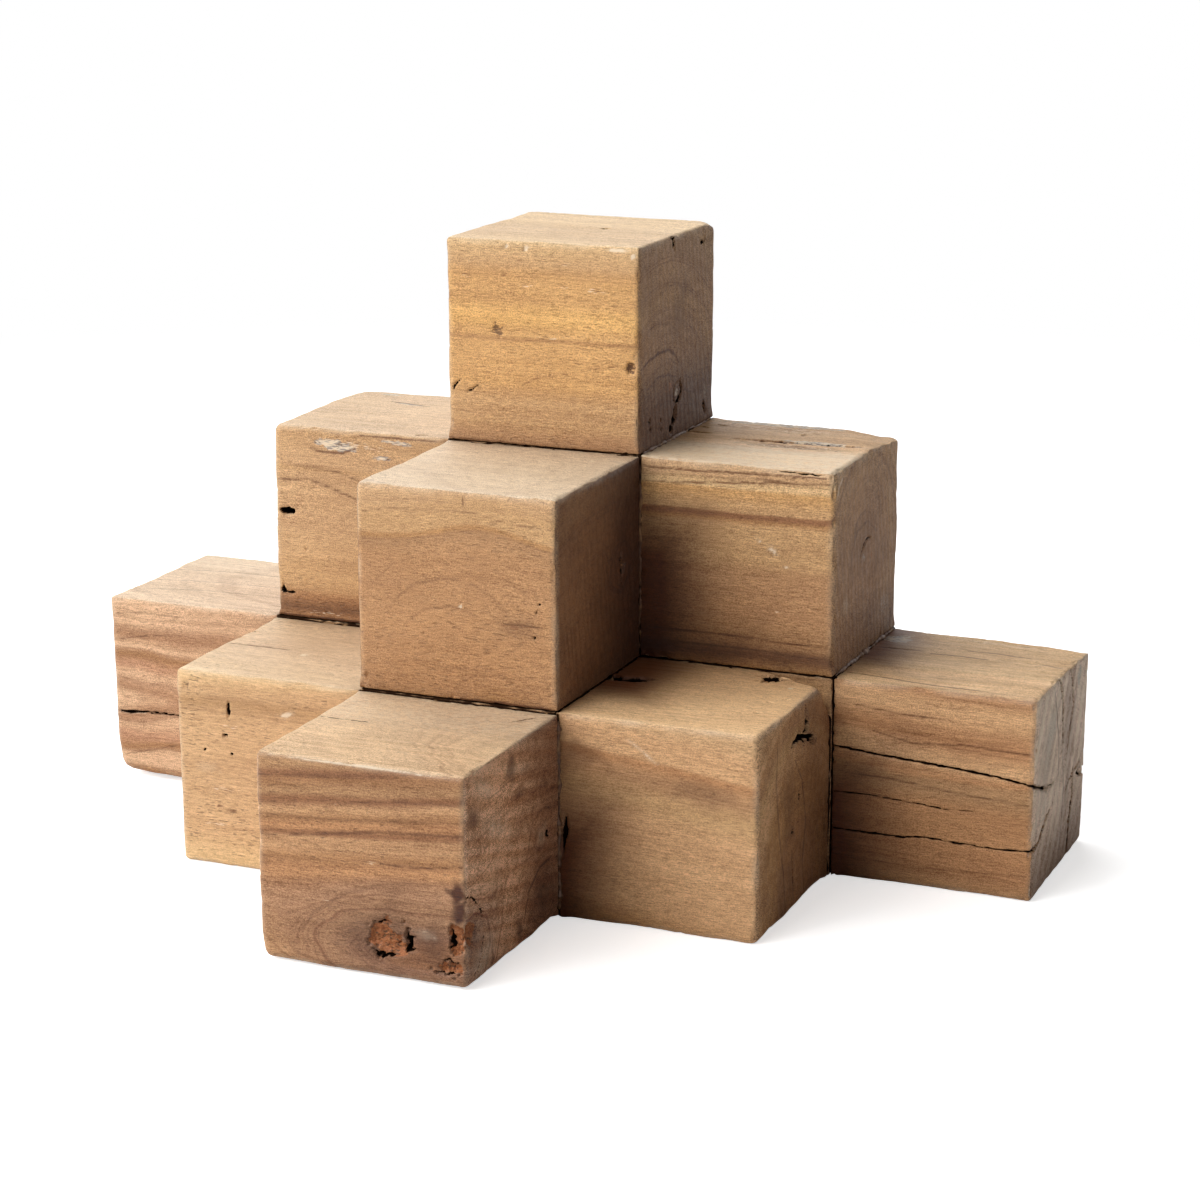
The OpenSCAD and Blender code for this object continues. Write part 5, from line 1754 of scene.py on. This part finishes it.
def banded() -> Timber:
    """The bottom right cube's wood: a pale band under the top, browner below, and a russet heart."""
    bands = ((0, Tone.OCHRE), (16, Tone.AMBER), (29, Tone.AMBER), (50, Tone.AMBER), (62, Tone.WHEAT),
             (74, Tone.TAN), (80, Tone.AUBURN), (83, Tone.AMBER), (90, Tone.AMBER), (100, Tone.SAND))
    heart = ((5.0, Tone.RUSSET), (24.0, Tone.RUSSET), (30.0, Tone.OCHRE), (48.0, Tone.OCHRE))
    return Timber(bands, (55.0, 28.0), 19.0, heart, (0.0, -0.1), wobble=2.0, line_gap=1.2, lines=0.16,
                  mottle=0.49, streaks=0.35, hair=1.0, speckle=1.4, pores=0.3, end_tone=Tone.FAWN,
                  end_share=0.35, saw=0.0, weathered=0.0, top_tone=Tone.APRICOT, top_share=0.85)


def brown() -> Timber:
    """The bottom far right cube's wood: even brown with fine lines and a weathered end."""
    bands = ((0, Tone.FAWN), (20, Tone.AUBURN), (47, Tone.FAWN), (49, Tone.AUBURN), (62, Tone.AMBER),
             (75, Tone.AUBURN), (90, Tone.AMBER), (100, Tone.AUBURN))
    heart = ((5.0, Tone.RUSSET), (30.0, Tone.OCHRE))
    return Timber(bands, (62.0, 48.0), 23.0, heart, (0.0, -0.05), wobble=2.4, line_gap=1.2, lines=0.22,
                  mottle=0.56, streaks=0.56, hair=1.1, speckle=1.9, pores=0.2, end_tone=Tone.HUSK, end_share=0.88,
                  saw=0.14, saw_turn=-35.0, saw_pitch=10.0, weathered=0.5, chalk=Tone.BONE, top_tone=Tone.OAT,
                  top_share=0.55)


def side_marks(seed: int, faces: tuple[Face, ...]) -> tuple[Mark, ...]:
    """Plain wear for the faces that the photograph doesn't show.

    A long face gets up to two checks along the grain and a pinhole, and an end gets two checks
    that run from near its middle to its edges.

    Args:
        seed: Picks the places.
        faces: The faces to mark.

    Returns:
        The marks.
    """
    draw = np.random.default_rng(seed)
    found = []
    for face in faces:
        if face.axis == 0:
            for turn, tip in draw.uniform((0, 20), (2 * np.pi, 48), (2, 2)):
                bearings = turn + np.array([-0.12, 0.06, 0.0])
                spots = 50 + np.outer([8, (8 + tip) / 2, tip], [1, 1]) * np.stack(
                    [np.cos(bearings), np.sin(bearings)], 1)
                path = tuple((float(a), float(b)) for a, b in spots)
                found.append(Crack(face, 2.0, path, 1.0, (0.4, 0.1), 0.85, 0.2))
        else:
            for height in draw.uniform(12, 88, draw.integers(0, 3)):
                start, length, drift = draw.uniform(-3, 30), draw.uniform(30, 75), draw.uniform(-3, 3)
                path = ((start, height), (start + length / 2, height + drift / 2), (start + length, height + drift))
                width = float(draw.uniform(0.6, 1.0))
                path = tuple((float(a), float(b)) for a, b in path)
                found.append(Crack(face, 1.5, path, width, (0.2, 0.0), 0.85, 0.2))
            for u, v in draw.uniform(12, 88, (1, 2)):
                found.append(Hole(face, 2.5, (float(u), float(v)), 1.6))
        u, v = draw.uniform(20, 80, 2)
        found.append(Patch(face, 0.0, (float(u), float(v)), 9.0, 1.8, float(draw.uniform(-20, 20)), "dark", 0.25))
    return tuple(found)


def cubes() -> list[SawnCube]:
    """Every cube of the stack, bottom layer last."""
    back, left, both = (Face.BACK,), (Face.LEFT,), (Face.BACK, Face.LEFT)
    return [
        SawnCube("top_cube", "golden_wood", (0, 0, 2), golden(), checks_of_top() + side_marks(1, both),
                 (9.0, 9.0, 3.0), most_steps=92),
        SawnCube("middle_left_cube", "tan_wood", (-1, 0, 1), light_tan(),
                 checks_of_middle_left() + side_marks(2, both), (10.0, 12.0, 2.0), wear_left=True, most_steps=76),
        SawnCube("middle_core_cube", "tan_wood", (0, 0, 1), tan(1.0), side_marks(3, back), plain=True),
        SawnCube("middle_right_cube", "golden_brown_wood", (1, 0, 1), lined(),
                 checks_of_middle_right() + side_marks(4, back), (28.0, 35.0, 4.0), arris_r=3.4, chips=0.6, most_steps=88),
        SawnCube("middle_front_cube", "tan_wood", (0, 1, 1), arched(), checks_of_middle_front() + side_marks(5, left)),
        SawnCube("bottom_far_left_cube", "figured_wood", (-2, 0, 0), figured(),
                 checks_of_far_left() + side_marks(6, both), knocked_r=6.0, most_steps=64),
        SawnCube("bottom_back_left_cube", "tan_wood", (-1, 0, 0), tan(2.0), side_marks(7, back), plain=True),
        SawnCube("bottom_back_middle_cube", "golden_brown_wood", (0, 0, 0), tan(3.0), side_marks(8, back), plain=True),
        SawnCube("bottom_back_right_cube", "tan_wood", (1, 0, 0), tan(4.0), side_marks(9, back), plain=True),
        SawnCube("bottom_far_right_cube", "brown_wood", (2, 0, 0), brown(),
                 checks_of_far_right() + side_marks(10, back), (60.0, 45.0, 2.5), chips=0.6, most_steps=104),
        SawnCube("bottom_left_cube", "pale_wood", (-1, 1, 0), pored(), checks_of_bottom_left() + side_marks(11, left)),
        SawnCube("bottom_core_cube", "tan_wood", (0, 1, 0), tan(5.0), plain=True),
        SawnCube("bottom_right_cube", "golden_brown_wood", (1, 1, 0), banded(), checks_of_bottom_right(),
                 (34.0, 18.0, 20.0), most_steps=96),
        SawnCube("bottom_front_cube", "figured_wood", (0, 2, 0), knotted(),
                 checks_of_bottom_front() + side_marks(12, left), most_steps=104),
    ]


def beads() -> list[GlueBead]:
    """Every glue bead of the stack."""
    return [
        GlueBead("top_glue_bead", 1, 0.9),
        GlueBead("middle_seam_glue_bead", 2, 0.6),
        GlueBead("middle_right_glue_bead", 1, 1.2),
        GlueBead("bottom_seam_glue_bead", 2, 1.2),
    ]


def main() -> None:
    """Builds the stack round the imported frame, then the studio, and reports each piece."""
    logging.basicConfig(level=logging.INFO, format="%(name)s: %(message)s")
    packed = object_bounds()
    side = (packed[1].x - packed[0].x) / CELLS_WIDE / MM
    finish = WoodFinish(Effects())
    total = 0
    stack = cubes()
    for cube in stack:
        cube.side = side
        cube.neighbours = [other for other in stack if other is not cube]
        piece = cube.build()
        cube.dress(piece, finish)
        total += 2 * len(piece.data.polygons)
        LOG.info("%s: %d triangles", piece.name, 2 * len(piece.data.polygons))
    glue = glue_finish()
    for bead in beads():
        piece = bead.build()
        bead.dress(piece, glue)
        total += 2 * len(piece.data.polygons)
        LOG.info("%s: %d triangles", piece.name, 2 * len(piece.data.polygons))
    LOG.info("all pieces: about %d triangles", total)
    Studio().build(side)


if __name__ == "__main__":
    main()
